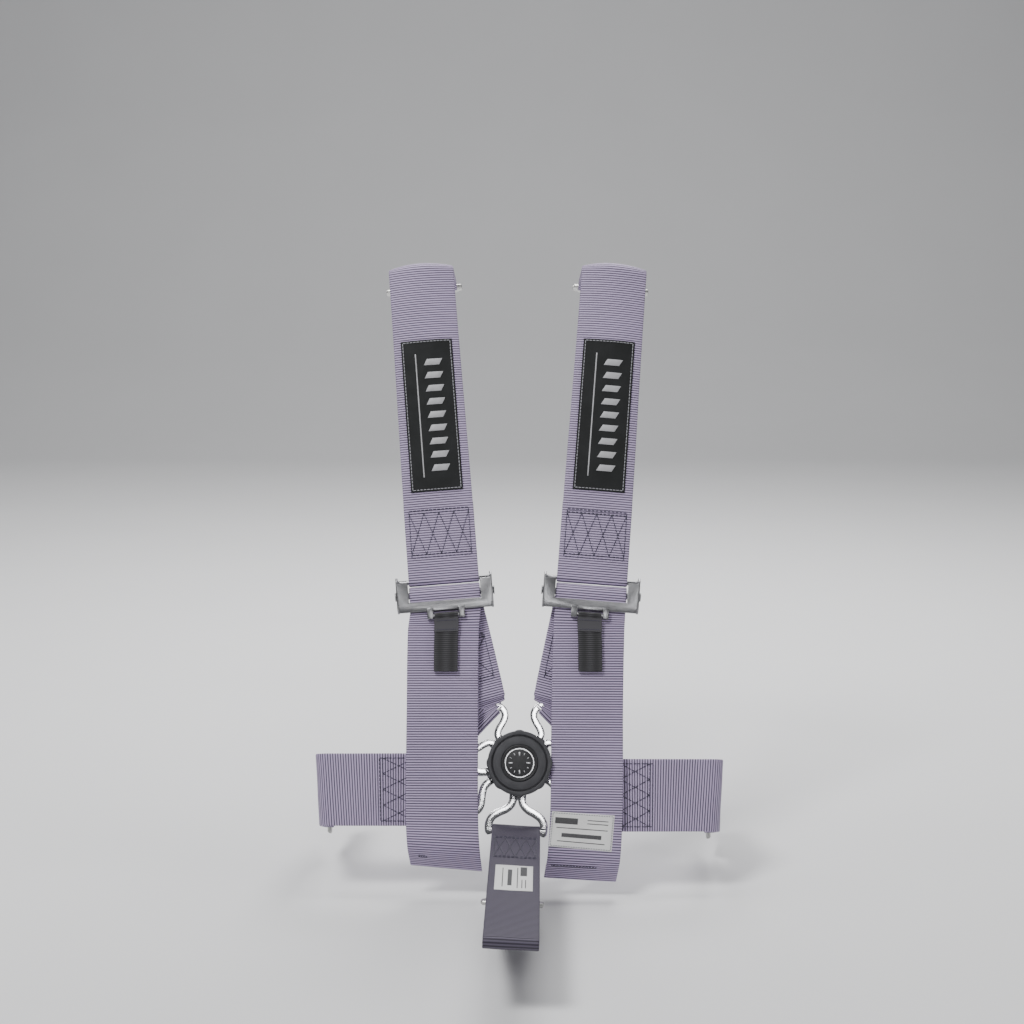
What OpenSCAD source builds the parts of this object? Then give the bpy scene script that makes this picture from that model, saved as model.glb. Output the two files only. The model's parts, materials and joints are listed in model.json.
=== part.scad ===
// Five-point racing harness with a rotary cam-lock buckle.
// Units are millimetres. The origin is the centre of the buckle's back face, +X is the wearer's
// left-hand side as seen from the front, and the wearer faces -Y. The shoulder belts lie in the
// belt plane, which leans back from the vertical by the recline.

/* [Webbing] */
// Width of the shoulder and lap webbing
strap_w = 76.2; // [60:0.1:91.5]
// Width of the crotch webbing
crotch_w = 50.8; // [40:0.1:58]
// Thickness of the main webbing
strap_t = 2; // [1.4:0.1:2.4]
// Space left between webbing and the metal bar it is looped round
loop_gap = 0.3; // [0.2:0.05:0.6]
// Length of the sewn-back ply at each belt end
sewn_ply = 84; // [60:1:110]
// Length of the sewn-back ply at each anchor
anchor_ply = 48; // [35:1:60]

/* [Layout] */
// Lean of the belt plane back from the vertical, degrees
recline = 20; // [0:1:35]
// Gap between the release knob and the left shoulder belt
left_gap = 7.4; // [4:0.1:20]
// Gap between the release knob and the right shoulder belt
right_gap = 4.4; // [4:0.1:20]
// Height of the adjusters above the buckle, along the belt plane
adjuster_v = 182; // [165:1:230]
// Lean of each upper belt outwards, degrees
belt_lean = 4.6; // [0:0.1:8]
// Length of the upper belt from the adjuster to the fold over the seat
upper_run = 376; // [250:1:480]
// Length of webbing behind that fold
shoulder_back_run = 82; // [70:1:160]
// Inward angle of each lower shoulder strap, degrees
lower_deg = 15; // [10:0.5:18]
// Length of the left free tail below the adjuster
tail_left_run = 292; // [150:1:320]
// Length of the right free tail below the adjuster
tail_right_run = 304; // [150:1:320]
// Distance that each lap belt reaches sideways
lap_x = 215; // [190:1:260]
// Height of the left lap belt's centre line
lap_left_v = -27; // [-32:1:-20]
// Height of the right lap belt's centre line
lap_right_v = -33; // [-36:1:-20]
// Length of lap webbing behind the hip
lap_back_run = 96; // [70:1:160]
// Length of crotch webbing in front of its tongue
crotch_run = 298; // [200:1:340]
// Length of crotch webbing below the seat slot
crotch_back_run = 190; // [120:1:220]

/* [Buckle] */
// Radius of the buckle body
body_r = 32; // [30:0.1:38.4]
// Height of the body and its back cover together
body_h = 14; // [13:0.5:16]
// Thickness of the back cover
back_t = 2.4; // [2:0.1:3]
// How far the lobes of the release knob reach beyond the body
knob_rim = 3; // [1.5:0.5:4]
// Height of the knob
knob_h = 12; // [11.5:0.5:14]
// Radius of each latch pin
pin_r = 3; // [2.5:0.1:3.2]
// Radius of the spindle that the knob turns on
spindle_r = 4; // [3:0.1:4.4]
// Travel of the latch pins
latch_travel = 3.2; // [3:0.1:3.4]
// Turn of the knob from latched to released, degrees
release_deg = 45; // [40:1:50]

/* [Tongues] */
// Thickness of the tongue plate
tongue_t = 3; // [2.4:0.1:3.6]
// Width of the blade that enters the buckle
blade_w = 18; // [15:0.5:19]
// Width of a tongue across its arms
tongue_w = 65; // [64:0.5:72]
// Width of each arm
arm_w = 6.6; // [5:0.1:6.6]
// Radius of the bar that the webbing loops round
bar_r = 2.5; // [2:0.1:3]
// Distance from the buckle's rim to the bar of a shoulder tongue
shoulder_arm = 25; // [25:0.5:32]
// The same distance for a lap tongue
lap_arm = 34; // [30:0.5:40]
// The same distance for the crotch tongue
crotch_arm = 37; // [30:0.5:40]
// Angle of the shoulder tongues from straight up, degrees
shoulder_deg = 46; // [38:1:46]
// Angle of the lap tongues from straight up, degrees
lap_deg = 112; // [108:1:113]
// Angle of the crotch tongue from straight up, degrees
crotch_deg = 183; // [180:1:184]

/* [Adjusters] */
// How far an adjuster reaches past the webbing on each side
ear_reach = 13.9; // [12:0.1:18]
// Height of an adjuster's ears
ear_h = 39; // [38:1:44]
// Thickness of the adjuster's pressed sheet
sheet_t = 2.5; // [2:0.1:2.8]
// Radius of the knurled slide bar
slide_bar_r = 3.5; // [3:0.1:4.2]
// Space between the slide bar and the webbing that passes over it
slide_gap = 0.8; // [0.75:0.05:1.2]
// Travel of the slide bar along its slots
slide_travel = 1.6; // [1:0.1:1.7]
// Radius of the cross bar that holds the upper belt
cross_bar_r = 2.5; // [2:0.1:2.8]
// Distance between the slide bar and the cross bar
bar_pitch = 15; // [14.5:0.5:18]
// Width of the pull tab webbing
tab_w = 25.4; // [20:0.1:28]
// Thickness of the pull tab webbing
tab_t = 1.4; // [1:0.1:1.6]
// Length of the pull tab
tab_run = 61; // [40:1:80]

/* [Patches and tags] */
// Width of the rubber patch on each upper belt
patch_w = 57; // [30:1:60]
// Length of that patch
patch_l = 172; // [80:1:190]
// Thickness of that patch
patch_t = 1.2; // [0.8:0.1:2]
// Height of the patch's centre above the adjuster
patch_v = 199; // [180:1:215]
// Long side of each woven tag
tag_l = 66; // [40:1:70]
// Short side of each woven tag
tag_h = 37; // [25:1:40]
// Thickness of a tag
tag_t = 0.5; // [0.4:0.1:0.8]

/* [Anchors] */
// Thickness of an anchor plate
plate_t = 3; // [2.5:0.1:3.5]
// Radius of the hole for a 7/16 inch eye bolt
bolt_hole_r = 5.75; // [5.25:0.05:6.75]
// Radius of the lug round that hole
lug_r = 14; // [12:0.5:18]
// Distance from the webbing bar to the bolt hole
bolt_reach = 34; // [32:1:45]

/* [Hidden] */
$fn = 48;

webbing_colour = [0.60, 0.58, 0.66];
steel_colour = [0.74, 0.74, 0.76];
chrome_colour = [0.86, 0.86, 0.88];
dark_colour = [0.20, 0.20, 0.22];
black_colour = [0.07, 0.07, 0.08];

LEFT = -1;
RIGHT = 1;
running_gap = 0.08;
seat_gap = 0.05;
ply_gap = 0.2;
// Lengths of webbing that join in one sheet differ by this much, so that no two faces coincide
sheet_step = 0.1;
sheet_inset = 0.3;

// Levels in front of the belt plane
tongue_n = 6.5;
slot_h = tongue_t + 0.4;
knob_n = body_h + 1;
knob_top = knob_n + knob_h;
knob_wall = 3;
ceiling_n = knob_top - knob_wall;
plate_n = body_h + 0.2 + latch_travel;
latch_plate_t = 2;
loop_r = bar_r + loop_gap + strap_t / 2;
wrap_r = slide_bar_r + slide_gap + strap_t / 2;
lower_n = tongue_n + loop_r;
adjuster_n = lower_n + wrap_r;

// Plan of the buckle
knob_r = body_r + knob_rim;
shoulder_reach = body_r + shoulder_arm;
lap_reach = body_r + lap_arm;
crotch_reach = body_r + crotch_arm;
blade_depth = 14;
tip_land = 3;
tip_r = body_r - blade_depth;
pin_at = tip_r + pin_r + tip_land;
window_r = pin_r + 0.4;
slot_w = blade_w + 0.6;
release_tongues = [-shoulder_deg, shoulder_deg, lap_deg, crotch_deg];
all_tongues = concat(release_tongues, [-lap_deg]);
rivet_r = 1.8;
rivet_at = body_r - 5;
rivet_h = body_h - 4;
rivet_angles = [0, (shoulder_deg + lap_deg) / 2, -(shoulder_deg + lap_deg) / 2,
    (lap_deg + crotch_deg) / 2, -(lap_deg + 360 - crotch_deg) / 2];
hollow_r = knob_r - 6;
lobes = 8;
lobe_r = 9;
sleeve_r = spindle_r + 3.2;
tooth_w = 3;
tooth_tip = sleeve_r + 0.4;
ramp_r = tooth_tip + 1.6;
plate_bore = ramp_r + 0.4;
spindle_head_r = spindle_r + 3.5;
spindle_head_n = knob_top - 2;
spindle_head_t = 1;
badge_r = 19;
badge_t = 2;
badge_seat = 0.9;
badge_ring = [badge_r - 3.4, badge_r - 1.4];
badge_ring_depth = 1.5;
groove = [knob_r - 6.4, knob_r - 5.8];
groove_depth = 0.6;
lobe_dip = 1.2;

// Plan of a tongue
neck_end = body_r + 4;
arm_start = (blade_w - arm_w) / 2;
arm_end = (tongue_w - arm_w) / 2;
short_arm = 30;
short_bend_deg = 76;
short_bend_r = 6.5;
long_bend_deg = 66;
long_bend_r = 9.5;
tongue_loop_w = min(crotch_w, 2 * arm_end - arm_w - 1);
tongue_ply = 16;

// Side view of an adjuster, from its slide bar
web_front = wrap_r + strap_t / 2;
face_z = web_front + 0.5;
ear_bottom = -ear_h / 2 + 0.5;
ear_top = ear_bottom + ear_h;
ear_back = -2.6;
cross_z = -2;
cross_back = cross_z - cross_bar_r - 1.4;
lip_top = -8.5;
post_top = ear_top - 6;
adjuster_w = strap_w + 2 * ear_reach;
ear_x = adjuster_w / 2 - sheet_t;
post_x = strap_w / 2 + 0.9;
bar_head_x = 1.1;
bar_head_t = 1.4;
bar_head_rim = 1.2;
horn_w = 6.6;
horn_x = tab_w / 2 + 0.9;
horn_l = 9;
tab_pin_r = 1.3;
tab_loop_r = tab_pin_r + loop_gap + tab_t / 2;
horn_t = 4.4;
horn_z = face_z + 0.2;
tab_z = web_front + 0.5 + tab_loop_r + tab_t / 2;
tab_y = ear_bottom - horn_l / 2 - 1;
cross_loop_r = cross_bar_r + loop_gap + strap_t / 2;
belt_z = cross_z + cross_loop_r;
fold_r = 9;
lower_end_v = 64;
tail_end_run = 22;
tail_end_deg = 14;
tail_shift_x = 2;

// Side view of an anchor, from its bar
anchor_bar_r = bar_r;
anchor_loop_r = anchor_bar_r + loop_gap + strap_t / 2;
anchor_slot = anchor_bar_r + loop_gap + strap_t + 2.2;
anchor_side = 6;
shoulder_rod = [upper_run - anchor_loop_r, -shoulder_back_run];
lap_fold_r = 16;
lap_n = lower_n;
// Where a lap belt has opened to its full width
gather_x = 104;
gather_step = 2;
lap_rod = [lap_x - anchor_loop_r, -lap_back_run];

// Side view of the crotch strap, from its tongue's bar
crotch_fold_r = 5;
crotch_drop_deg = 11;
crotch_ply = 105;
crotch_top = [0, loop_r];
crotch_front = crotch_top - [crotch_run, 0];
crotch_under = crotch_front - [0, crotch_fold_r]
    + crotch_fold_r * unit(270 - crotch_drop_deg);
crotch_tail_end = crotch_under + crotch_back_run * unit(-crotch_drop_deg);
crotch_rod = crotch_tail_end + anchor_loop_r * unit(90 - crotch_drop_deg);

function unit(a) = [cos(a), sin(a)];
function reversed(p) = [for (i = [len(p) - 1:-1:0]) p[i]];
function left_of(d) = [-d[1], d[0]];
function heading(p, i) = (p[i + 1] - p[i]) / norm(p[i + 1] - p[i]);
// Offset direction at point i of a path, long enough to keep the ribbon's thickness at a bend
function mitre(p, i) =
    let (a = left_of(heading(p, max(i - 1, 0))), b = left_of(heading(p, min(i, len(p) - 2))))
    (a + b) / (1 + a * b);
// Closed outline of a ribbon of thickness t along a path
function ribbon(p, t) = concat(
    [for (i = [0:len(p) - 1]) p[i] + mitre(p, i) * t / 2],
    [for (i = [len(p) - 1:-1:0]) p[i] - mitre(p, i) * t / 2]);
function arc(c, r, from, to, steps = 10) =
    [for (i = [0:steps]) c + r * unit(from + (to - from) * i / steps)];
// A loop is sewn shut this many of its radii beyond its bar
loop_close = 3.4;
tab_close = 4;
// Webbing that turns round a bar and is sewn back on itself: it arrives at p on the heading h,
// and turns left for s = 1 or right for s = -1
function sewn_loop(p, h, s, r, t, ply) = concat(
    arc(p + r * unit(h + 90 * s), r, h - 90 * s, h + 120 * s),
    [p - unit(h) * loop_close * r + (t + ply_gap) * unit(h + 90 * s),
     p - unit(h) * ply + (t + ply_gap) * unit(h + 90 * s)]);

// Puts a plan in the belt plane: x across, y up the belt, z towards the front
module belt_plane() { rotate([90 - recline, 0, 0]) children(); }
// Sweeps a side view (y up the belt, z to the front) across the belt
module across(w) { rotate([90, 0, 90]) linear_extrude(w, center = true) children(); }
module at_tongue(deg) { belt_plane() translate([0, 0, tongue_n]) rotate([0, 0, -deg]) children(); }
// Puts the children at the crotch tongue's bar: x along the bar, y to the back and z up
module at_crotch() {
    belt_plane() rotate([0, 0, 180 - crotch_deg]) translate([0, -crotch_reach, tongue_n])
        rotate([recline - 90, 0, 0]) children();
}
function shoulder_x(s) = knob_r + (s == LEFT ? left_gap : right_gap) + strap_w / 2;
module at_adjuster(s) {
    belt_plane() translate([s * shoulder_x(s), adjuster_v, adjuster_n])
        rotate([0, 0, -s * belt_lean]) children();
}

// ---- Buckle ----

module buckle_body() {
    color(dark_colour) belt_plane() difference() {
        translate([0, 0, back_t]) cylinder(r = body_r, h = body_h - back_t);
        for (a = all_tongues) rotate([0, 0, -a]) {
            translate([-slot_w / 2, tip_r - 0.4, tongue_n - slot_h / 2]) cube([slot_w, body_r, slot_h]);
            translate([0, pin_at, -1]) cylinder(r = pin_r + running_gap, h = body_h + 2);
        }
        for (a = rivet_angles) rotate([0, 0, -a])
            translate([0, rivet_at, -1]) cylinder(r = rivet_r + seat_gap, h = rivet_h + 1);
        translate([0, 0, -1]) cylinder(r = spindle_r + seat_gap, h = body_h + 2);
    }
}

module buckle_back_cover() {
    color(dark_colour) belt_plane() difference() {
        cylinder(r = body_r - 0.5, h = back_t);
        for (a = rivet_angles) rotate([0, 0, -a])
            translate([0, rivet_at, -1]) cylinder(r = rivet_r + seat_gap, h = back_t + 2);
    }
}

module buckle_rivets() {
    color(steel_colour) belt_plane() for (a = rivet_angles) rotate([0, 0, -a])
        translate([0, rivet_at, 0.2]) cylinder(r = rivet_r, h = rivet_h - 0.2);
}

module spindle() {
    color(steel_colour) belt_plane() {
        translate([0, 0, back_t]) cylinder(r = spindle_r, h = spindle_head_n - back_t);
        translate([0, 0, spindle_head_n]) cylinder(r = spindle_head_r, h = spindle_head_t);
    }
}

module fixed_tongue_rivet() {
    color(steel_colour) belt_plane() rotate([0, 0, lap_deg]) translate([0, pin_at, back_t])
        cylinder(r = pin_r, h = body_h - back_t);
}

module lobed_disc(r, h) {
    linear_extrude(h) {
        circle(r - lobe_dip);
        for (i = [0:lobes - 1]) rotate(i * 360 / lobes) translate([0, r - lobe_r]) circle(lobe_r);
    }
}

module release_knob() {
    color(dark_colour) belt_plane() difference() {
        translate([0, 0, knob_n]) lobed_disc(knob_r, knob_h);
        translate([0, 0, knob_n - 1]) cylinder(r = hollow_r, h = ceiling_n - knob_n + 1);
        cylinder(r = spindle_r + running_gap, h = knob_top + 1);
        translate([0, 0, spindle_head_n]) cylinder(r = spindle_head_r + running_gap, h = 3);
        translate([0, 0, knob_top - badge_seat]) cylinder(r = badge_r + seat_gap, h = 2);
        translate([0, 0, knob_top - groove_depth]) difference() {
            cylinder(r = groove[1], h = 1);
            cylinder(r = groove[0], h = 1);
        }
    }
}

module knob_badge() {
    color(black_colour) belt_plane() difference() {
        translate([0, 0, knob_top - badge_seat]) cylinder(r = badge_r, h = badge_t);
        translate([0, 0, knob_top + badge_t - badge_ring_depth]) difference() {
            cylinder(r = badge_ring[1], h = 1);
            cylinder(r = badge_ring[0], h = 1);
        }
    }
}

module wedge(r, from, to, h) {
    linear_extrude(h) polygon([[0, 0], r * unit(from), r * unit(to)]);
}

// The cam that lifts the latch plate: two stepped ramps that turn with the knob
module cam_sleeve() {
    base_n = body_h + 0.4;
    step_deg = 7;
    steps = 8;
    slope = latch_travel / release_deg;
    half_tooth = 12;
    color(steel_colour) belt_plane() difference() {
        union() {
            translate([0, 0, base_n]) cylinder(r = sleeve_r, h = ceiling_n - base_n);
            for (turn = [0, 180], k = [0:steps - 1]) {
                end_deg = -half_tooth + step_deg * (k + 1);
                top_n = plate_n - 0.15 - slope * (end_deg + half_tooth);
                translate([0, 0, base_n])
                    wedge(ramp_r, turn + 90 + end_deg - step_deg, turn + 90 + end_deg, top_n - base_n);
            }
        }
        cylinder(r = spindle_r + running_gap, h = knob_top);
    }
}

module latch_plate() {
    color(steel_colour) belt_plane() {
        difference() {
            translate([0, 0, plate_n]) cylinder(r = hollow_r - 1.5, h = latch_plate_t);
            cylinder(r = plate_bore, h = knob_top);
        }
        for (s = [-1, 1]) translate([-tooth_w / 2, s > 0 ? tooth_tip : -plate_bore - 1, plate_n])
            cube([tooth_w, plate_bore + 1 - tooth_tip, latch_plate_t]);
        for (a = release_tongues) rotate([0, 0, -a]) translate([0, pin_at, tongue_n + tongue_t / 2 + 0.5])
            cylinder(r = pin_r, h = plate_n - tongue_n - tongue_t / 2);
    }
}

// Dished spring washer that presses the latch plate down
module latch_spring() {
    inner = plate_bore + 1;
    outer = plate_bore + 5;
    dish = 0.7;
    sheet = 0.4;
    z = plate_n + latch_plate_t + seat_gap;
    color(steel_colour) belt_plane() rotate_extrude()
        polygon([[inner, z], [inner + sheet, z], [outer, z + dish], [outer, z + dish + sheet],
            [outer - sheet, z + dish + sheet], [inner, z + sheet]]);
}

// Flat spiral spring that turns the knob back
module return_spring() {
    turns = 2.5;
    steps = 60;
    wire_t = 0.7;
    lift = 1.3;
    r0 = plate_bore + 1.5;
    r1 = hollow_r - 2;
    path = [for (i = [0:steps]) (r0 + (r1 - r0) * i / steps) * unit(360 * turns * i / steps)];
    z = plate_n + latch_plate_t + lift;
    color(steel_colour) belt_plane() translate([0, 0, z])
        linear_extrude(ceiling_n - z - 0.2) polygon(ribbon(path, wire_t));
}

// ---- Tongues ----

// Centre line of one arm: out of the neck, sideways in two bends, then straight to the bar
function arm_path(reach) =
    let (run = reach - 6 - neck_end + 2,
         short = reach - body_r < short_arm,
         bend = short ? short_bend_deg : long_bend_deg,
         r = min(short ? short_bend_r : long_bend_r, run / 2 / sin(bend)),
         side = (arm_end - arm_start - 2 * r * (1 - cos(bend))) / sin(bend),
         start = [arm_start, neck_end - 2],
         turn = start + [r, 0] + r * unit(180 - bend) + side * unit(90 - bend))
    concat([start - [0, 4]],
        [for (i = [0:6]) start + [r, 0] + r * unit(180 - bend * i / 6)],
        [for (i = [0:6]) turn + r * unit(180 - bend) + r * unit(-bend + bend * i / 6)],
        [[arm_end, reach + 2]]);

module tongue(reach) {
    difference() {
        union() {
            linear_extrude(tongue_t, center = true) {
                translate([-blade_w / 2, tip_r]) square([blade_w, neck_end - tip_r]);
                for (s = [-1, 1]) scale([s, 1]) polygon(ribbon(arm_path(reach), arm_w));
            }
            translate([-arm_end, reach, 0]) rotate([0, 90, 0]) cylinder(r = bar_r, h = 2 * arm_end);
        }
        translate([0, pin_at, -tongue_t]) cylinder(r = window_r, h = 2 * tongue_t);
    }
}

module tongue_at(deg, reach) { color(chrome_colour) at_tongue(deg) tongue(reach); }

// ---- Adjusters ----

module bar_slot(r, travel) {
    for (y = [0, -travel]) translate([-adjuster_w, y, 0]) rotate([0, 90, 0])
        cylinder(r = r, h = 2 * adjuster_w);
    translate([-adjuster_w, -travel, -r]) cube([2 * adjuster_w, travel, 2 * r]);
}

module adjuster_frame(s) {
    corner = 4;
    boss_start = bar_pitch - 7;
    face_front = face_z + sheet_t;
    ear = [[ear_bottom + corner, ear_back], [boss_start, ear_back], [boss_start + 3, cross_back],
        [ear_top - 3, cross_back], [ear_top, cross_back + 3], [ear_top, face_z - 2],
        [ear_top - corner, face_front], [ear_bottom + corner + 1, face_front],
        [ear_bottom, face_front - corner], [ear_bottom, ear_back + corner]];
    color(steel_colour) at_adjuster(s) difference() {
        union() {
            for (side = [-1, 1]) {
                translate([side * (ear_x + sheet_t / 2), 0, 0]) across(sheet_t) polygon(ear);
                translate([side > 0 ? post_x : -ear_x - 0.5, lip_top - 1, face_z])
                    cube([ear_x + 0.5 - post_x, post_top - lip_top, sheet_t]);
                translate([side > 0 ? horn_x : -horn_x - horn_w, ear_bottom - horn_l, horn_z])
                    cube([horn_w, horn_l + 3, horn_t]);
            }
            translate([-ear_x - 0.5, ear_bottom, face_z])
                cube([2 * ear_x + 1, lip_top - ear_bottom, sheet_t]);
        }
        bar_slot(slide_bar_r + 0.2, slide_travel);
        translate([-adjuster_w, bar_pitch, cross_z]) rotate([0, 90, 0])
            cylinder(r = cross_bar_r + seat_gap, h = 2 * adjuster_w);
        translate([-adjuster_w, tab_y, tab_z]) rotate([0, 90, 0])
            cylinder(r = tab_pin_r + seat_gap, h = 2 * adjuster_w);
    }
}

module slide_bar(s) {
    color(steel_colour) at_adjuster(s) {
        translate([-adjuster_w / 2 - 1, 0, 0]) rotate([0, 90, 0])
            cylinder(r = slide_bar_r, h = adjuster_w + 2);
        for (side = [-1, 1]) translate([side * (adjuster_w / 2 + bar_head_x), 0, 0]) rotate([0, 90, 0])
            cylinder(r = slide_bar_r + bar_head_rim, h = bar_head_t, center = true);
    }
}

module cross_bar(s) {
    color(steel_colour) at_adjuster(s) translate([-adjuster_w / 2, bar_pitch, cross_z])
        rotate([0, 90, 0]) cylinder(r = cross_bar_r, h = adjuster_w);
}

module tab_pin(s) {
    color(steel_colour) at_adjuster(s) translate([-horn_x - horn_w, tab_y, tab_z])
        rotate([0, 90, 0]) cylinder(r = tab_pin_r, h = 2 * (horn_x + horn_w));
}

module pull_tab(s) {
    run = concat([[tab_y - tab_run, tab_z + (tab_t + ply_gap) / 2]],
        [[tab_y - tab_close * tab_loop_r, tab_z + (tab_t + ply_gap) / 2]],
        arc([tab_y, tab_z], tab_loop_r, 120, -120, 12),
        [[tab_y - tab_close * tab_loop_r, tab_z - (tab_t + ply_gap) / 2]],
        [[tab_y - tab_run, tab_z - (tab_t + ply_gap) / 2]]);
    color(black_colour) at_adjuster(s) across(tab_w) polygon(ribbon(run, tab_t));
}

// ---- Webbing ----

// Centre of the lower end of a lower shoulder strap, in the belt plane
function lower_end(s) =
    [s * shoulder_x(s) - s * (adjuster_v - lower_end_v) * tan(lower_deg), lower_end_v];
function along_tongue(s, across_x, reach) =
    across_x * [cos(shoulder_deg), -s * sin(shoulder_deg)]
    + reach * [s * sin(shoulder_deg), cos(shoulder_deg)];
function beside_adjuster(s, x, y) =
    [s * shoulder_x(s), adjuster_v] + x * [cos(belt_lean), -s * sin(belt_lean)]
    + y * [s * sin(belt_lean), cos(belt_lean)];

function tail_length(s) = s == LEFT ? tail_left_run : tail_right_run;

// A flat spread of webbing in the belt plane, its middle at height n
module flat_sheet(outline, n) {
    t = strap_t - sheet_step;
    belt_plane() translate([0, 0, n - t / 2]) linear_extrude(t) polygon(outline);
}

// One length of webbing: sewn round the tongue's bar, up behind the adjuster, over its slide bar
// and down in front as the free tail
module shoulder_strap(s) {
    wrap_back = -6;
    wrap_front = -12;
    tail_run = tail_length(s);
    tail_x = s == LEFT ? 0 : -tail_shift_x;
    half = strap_w / 2;
    top = s * (half - sheet_inset);
    foot = s * (tongue_loop_w / 2 - sheet_inset);
    low = lower_end(s);
    sheet = [beside_adjuster(s, -top, wrap_back / 2),
        low + half * [-s * cos(lower_deg), sin(lower_deg)],
        along_tongue(s, -foot, shoulder_reach + 2),
        along_tongue(s, foot, shoulder_reach + 2),
        low - half * [-s * cos(lower_deg), sin(lower_deg)],
        beside_adjuster(s, top, wrap_back / 2)];
    wrap = concat([[wrap_back, -wrap_r]], arc([0, 0], wrap_r, -90, 90, 14), [[wrap_front, wrap_r]]);
    tail = [[wrap_front / 2 + 1, wrap_r], [-tail_run + tail_end_run, wrap_r],
        [-tail_run, wrap_r - tail_end_run * tan(tail_end_deg)]];
    tongue_loop = concat([[shoulder_reach + tongue_ply, loop_r]],
        sewn_loop([shoulder_reach, loop_r], 180, 1, loop_r, strap_t, tongue_ply));
    color(webbing_colour) {
        at_adjuster(s) across(strap_w) polygon(ribbon(wrap, strap_t));
        at_adjuster(s) rotate([0, 0, s * belt_lean]) translate([tail_x, 0, 0]) across(strap_w)
            polygon(ribbon(tail, strap_t - sheet_step));
        flat_sheet(sheet, lower_n);
        at_tongue(s * shoulder_deg) across(tongue_loop_w) polygon(ribbon(tongue_loop, strap_t));
    }
}

module upper_belt(s) {
    run = concat(
        reversed(sewn_loop([bar_pitch, belt_z], 180, 1, cross_loop_r, strap_t, sewn_ply)),
        arc([upper_run - fold_r, belt_z - fold_r], fold_r, 90, 0, 6),
        sewn_loop([upper_run, -shoulder_back_run], 270, -1, anchor_loop_r, strap_t, anchor_ply));
    color(webbing_colour) at_adjuster(s) across(strap_w) polygon(ribbon(run, strap_t));
}

function lap_v(s) = s == LEFT ? lap_left_v : lap_right_v;

// Sewn round the tongue's bar, out to the hip, round it and back to the anchor
module lap_belt(s) {
    foot = s * (tongue_loop_w / 2 - sheet_inset);
    bar_dir = [cos(lap_deg), -s * sin(lap_deg)];
    bar_mid = (lap_reach + 2) * [s * sin(lap_deg), cos(lap_deg)];
    sheet = [bar_mid - foot * bar_dir, [s * gather_x, lap_v(s) + strap_w / 2],
        [s * (gather_x + gather_step), lap_v(s) + strap_w / 2],
        [s * (gather_x + gather_step), lap_v(s) - strap_w / 2],
        [s * gather_x, lap_v(s) - strap_w / 2], bar_mid + foot * bar_dir];
    tongue_loop = concat([[lap_reach + tongue_ply, loop_r]],
        sewn_loop([lap_reach, loop_r], 180, 1, loop_r, strap_t, tongue_ply));
    run = concat([[gather_x, lap_n], [lap_x - lap_fold_r, lap_n]],
        arc([lap_x - lap_fold_r, lap_n - lap_fold_r], lap_fold_r, 75, 0, 6),
        sewn_loop([lap_x, -lap_back_run], 270, -1, anchor_loop_r, strap_t, anchor_ply));
    color(webbing_colour) {
        belt_plane() translate([0, lap_v(s), 0]) scale_x(s) rotate([90, 0, 0])
            linear_extrude(strap_w, center = true) polygon(ribbon(run, strap_t));
        flat_sheet(sheet, lap_n);
        at_tongue(s * lap_deg) across(tongue_loop_w) polygon(ribbon(tongue_loop, strap_t));
    }
}

module scale_x(s) { if (s == LEFT) mirror([1, 0, 0]) children(); else children(); }

// Sewn round the tongue's bar, forward along the seat, through the slot and back below it
module crotch_webbing() {
    run = concat(
        reversed(sewn_loop(crotch_top, 0, -1, loop_r, strap_t, crotch_ply)),
        arc(crotch_front - [0, crotch_fold_r], crotch_fold_r, 90, 270 - crotch_drop_deg, 10),
        sewn_loop(crotch_tail_end, -crotch_drop_deg, 1, anchor_loop_r, strap_t, anchor_ply));
    color(webbing_colour) at_crotch() across(min(crotch_w, tongue_loop_w))
        polygon(ribbon(run, strap_t));
}

module patch(s) {
    color(black_colour) at_adjuster(s)
        translate([-patch_w / 2, patch_v - patch_l / 2, belt_z + strap_t / 2])
        cube([patch_w, patch_l, patch_t]);
}

module tag_shoulder() {
    tag_rise = 29;
    color("white") at_adjuster(RIGHT) rotate([0, 0, belt_lean])
        translate([-tag_l / 2 - 1, -tail_right_run + tag_rise, web_front - sheet_step / 2])
        cube([tag_l, tag_h, tag_t]);
}

module tag_crotch() {
    tag_start = 121;
    color("white") at_crotch() translate([-tag_h / 2, -tag_start - tag_l, crotch_top[1] + strap_t / 2])
        cube([tag_h, tag_l, tag_t]);
}

// ---- Anchors ----

// A bolt-in plate: a bar for the webbing, two sides, a body that narrows to a lug with one hole
module anchor(w) {
    half = w / 2 + anchor_side;
    side_end = -anchor_slot - 5;
    body = [[-half, -anchor_slot], [half, -anchor_slot], [half, side_end],
        [lug_r, -bolt_reach], [-lug_r, -bolt_reach], [-half, side_end]];
    difference() {
        union() {
            rotate([0, 90, 0]) cylinder(r = anchor_bar_r, h = 2 * half - 2, center = true);
            for (s = [-1, 1]) translate([s * (half - anchor_side / 2 + 0.25) - anchor_side / 2,
                -anchor_slot - 1, -plate_t / 2]) cube([anchor_side - 0.5, anchor_slot + 1, plate_t]);
            translate([0, 0, -plate_t / 2]) linear_extrude(plate_t) polygon(body);
            translate([0, -bolt_reach, -plate_t / 2]) cylinder(r = lug_r, h = plate_t);
        }
        translate([0, -bolt_reach, -plate_t]) cylinder(r = bolt_hole_r, h = 2 * plate_t);
    }
}

// The plate continues the line of the webbing, away from the harness
module anchor_shoulder(s) {
    color(steel_colour) at_adjuster(s) translate([0, shoulder_rod[0], shoulder_rod[1]])
        rotate([90, 0, 0]) anchor(strap_w);
}

module anchor_lap(s) {
    color(steel_colour) belt_plane() translate([s * lap_rod[0], lap_v(s), lap_rod[1]])
        rotate([0, 0, 90]) rotate([90, 0, 0]) anchor(strap_w);
}

module anchor_crotch() {
    color(steel_colour) at_crotch() translate([0, crotch_rod[0], crotch_rod[1]])
        rotate([180 - crotch_drop_deg, 0, 0]) anchor(crotch_w);
}

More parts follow.
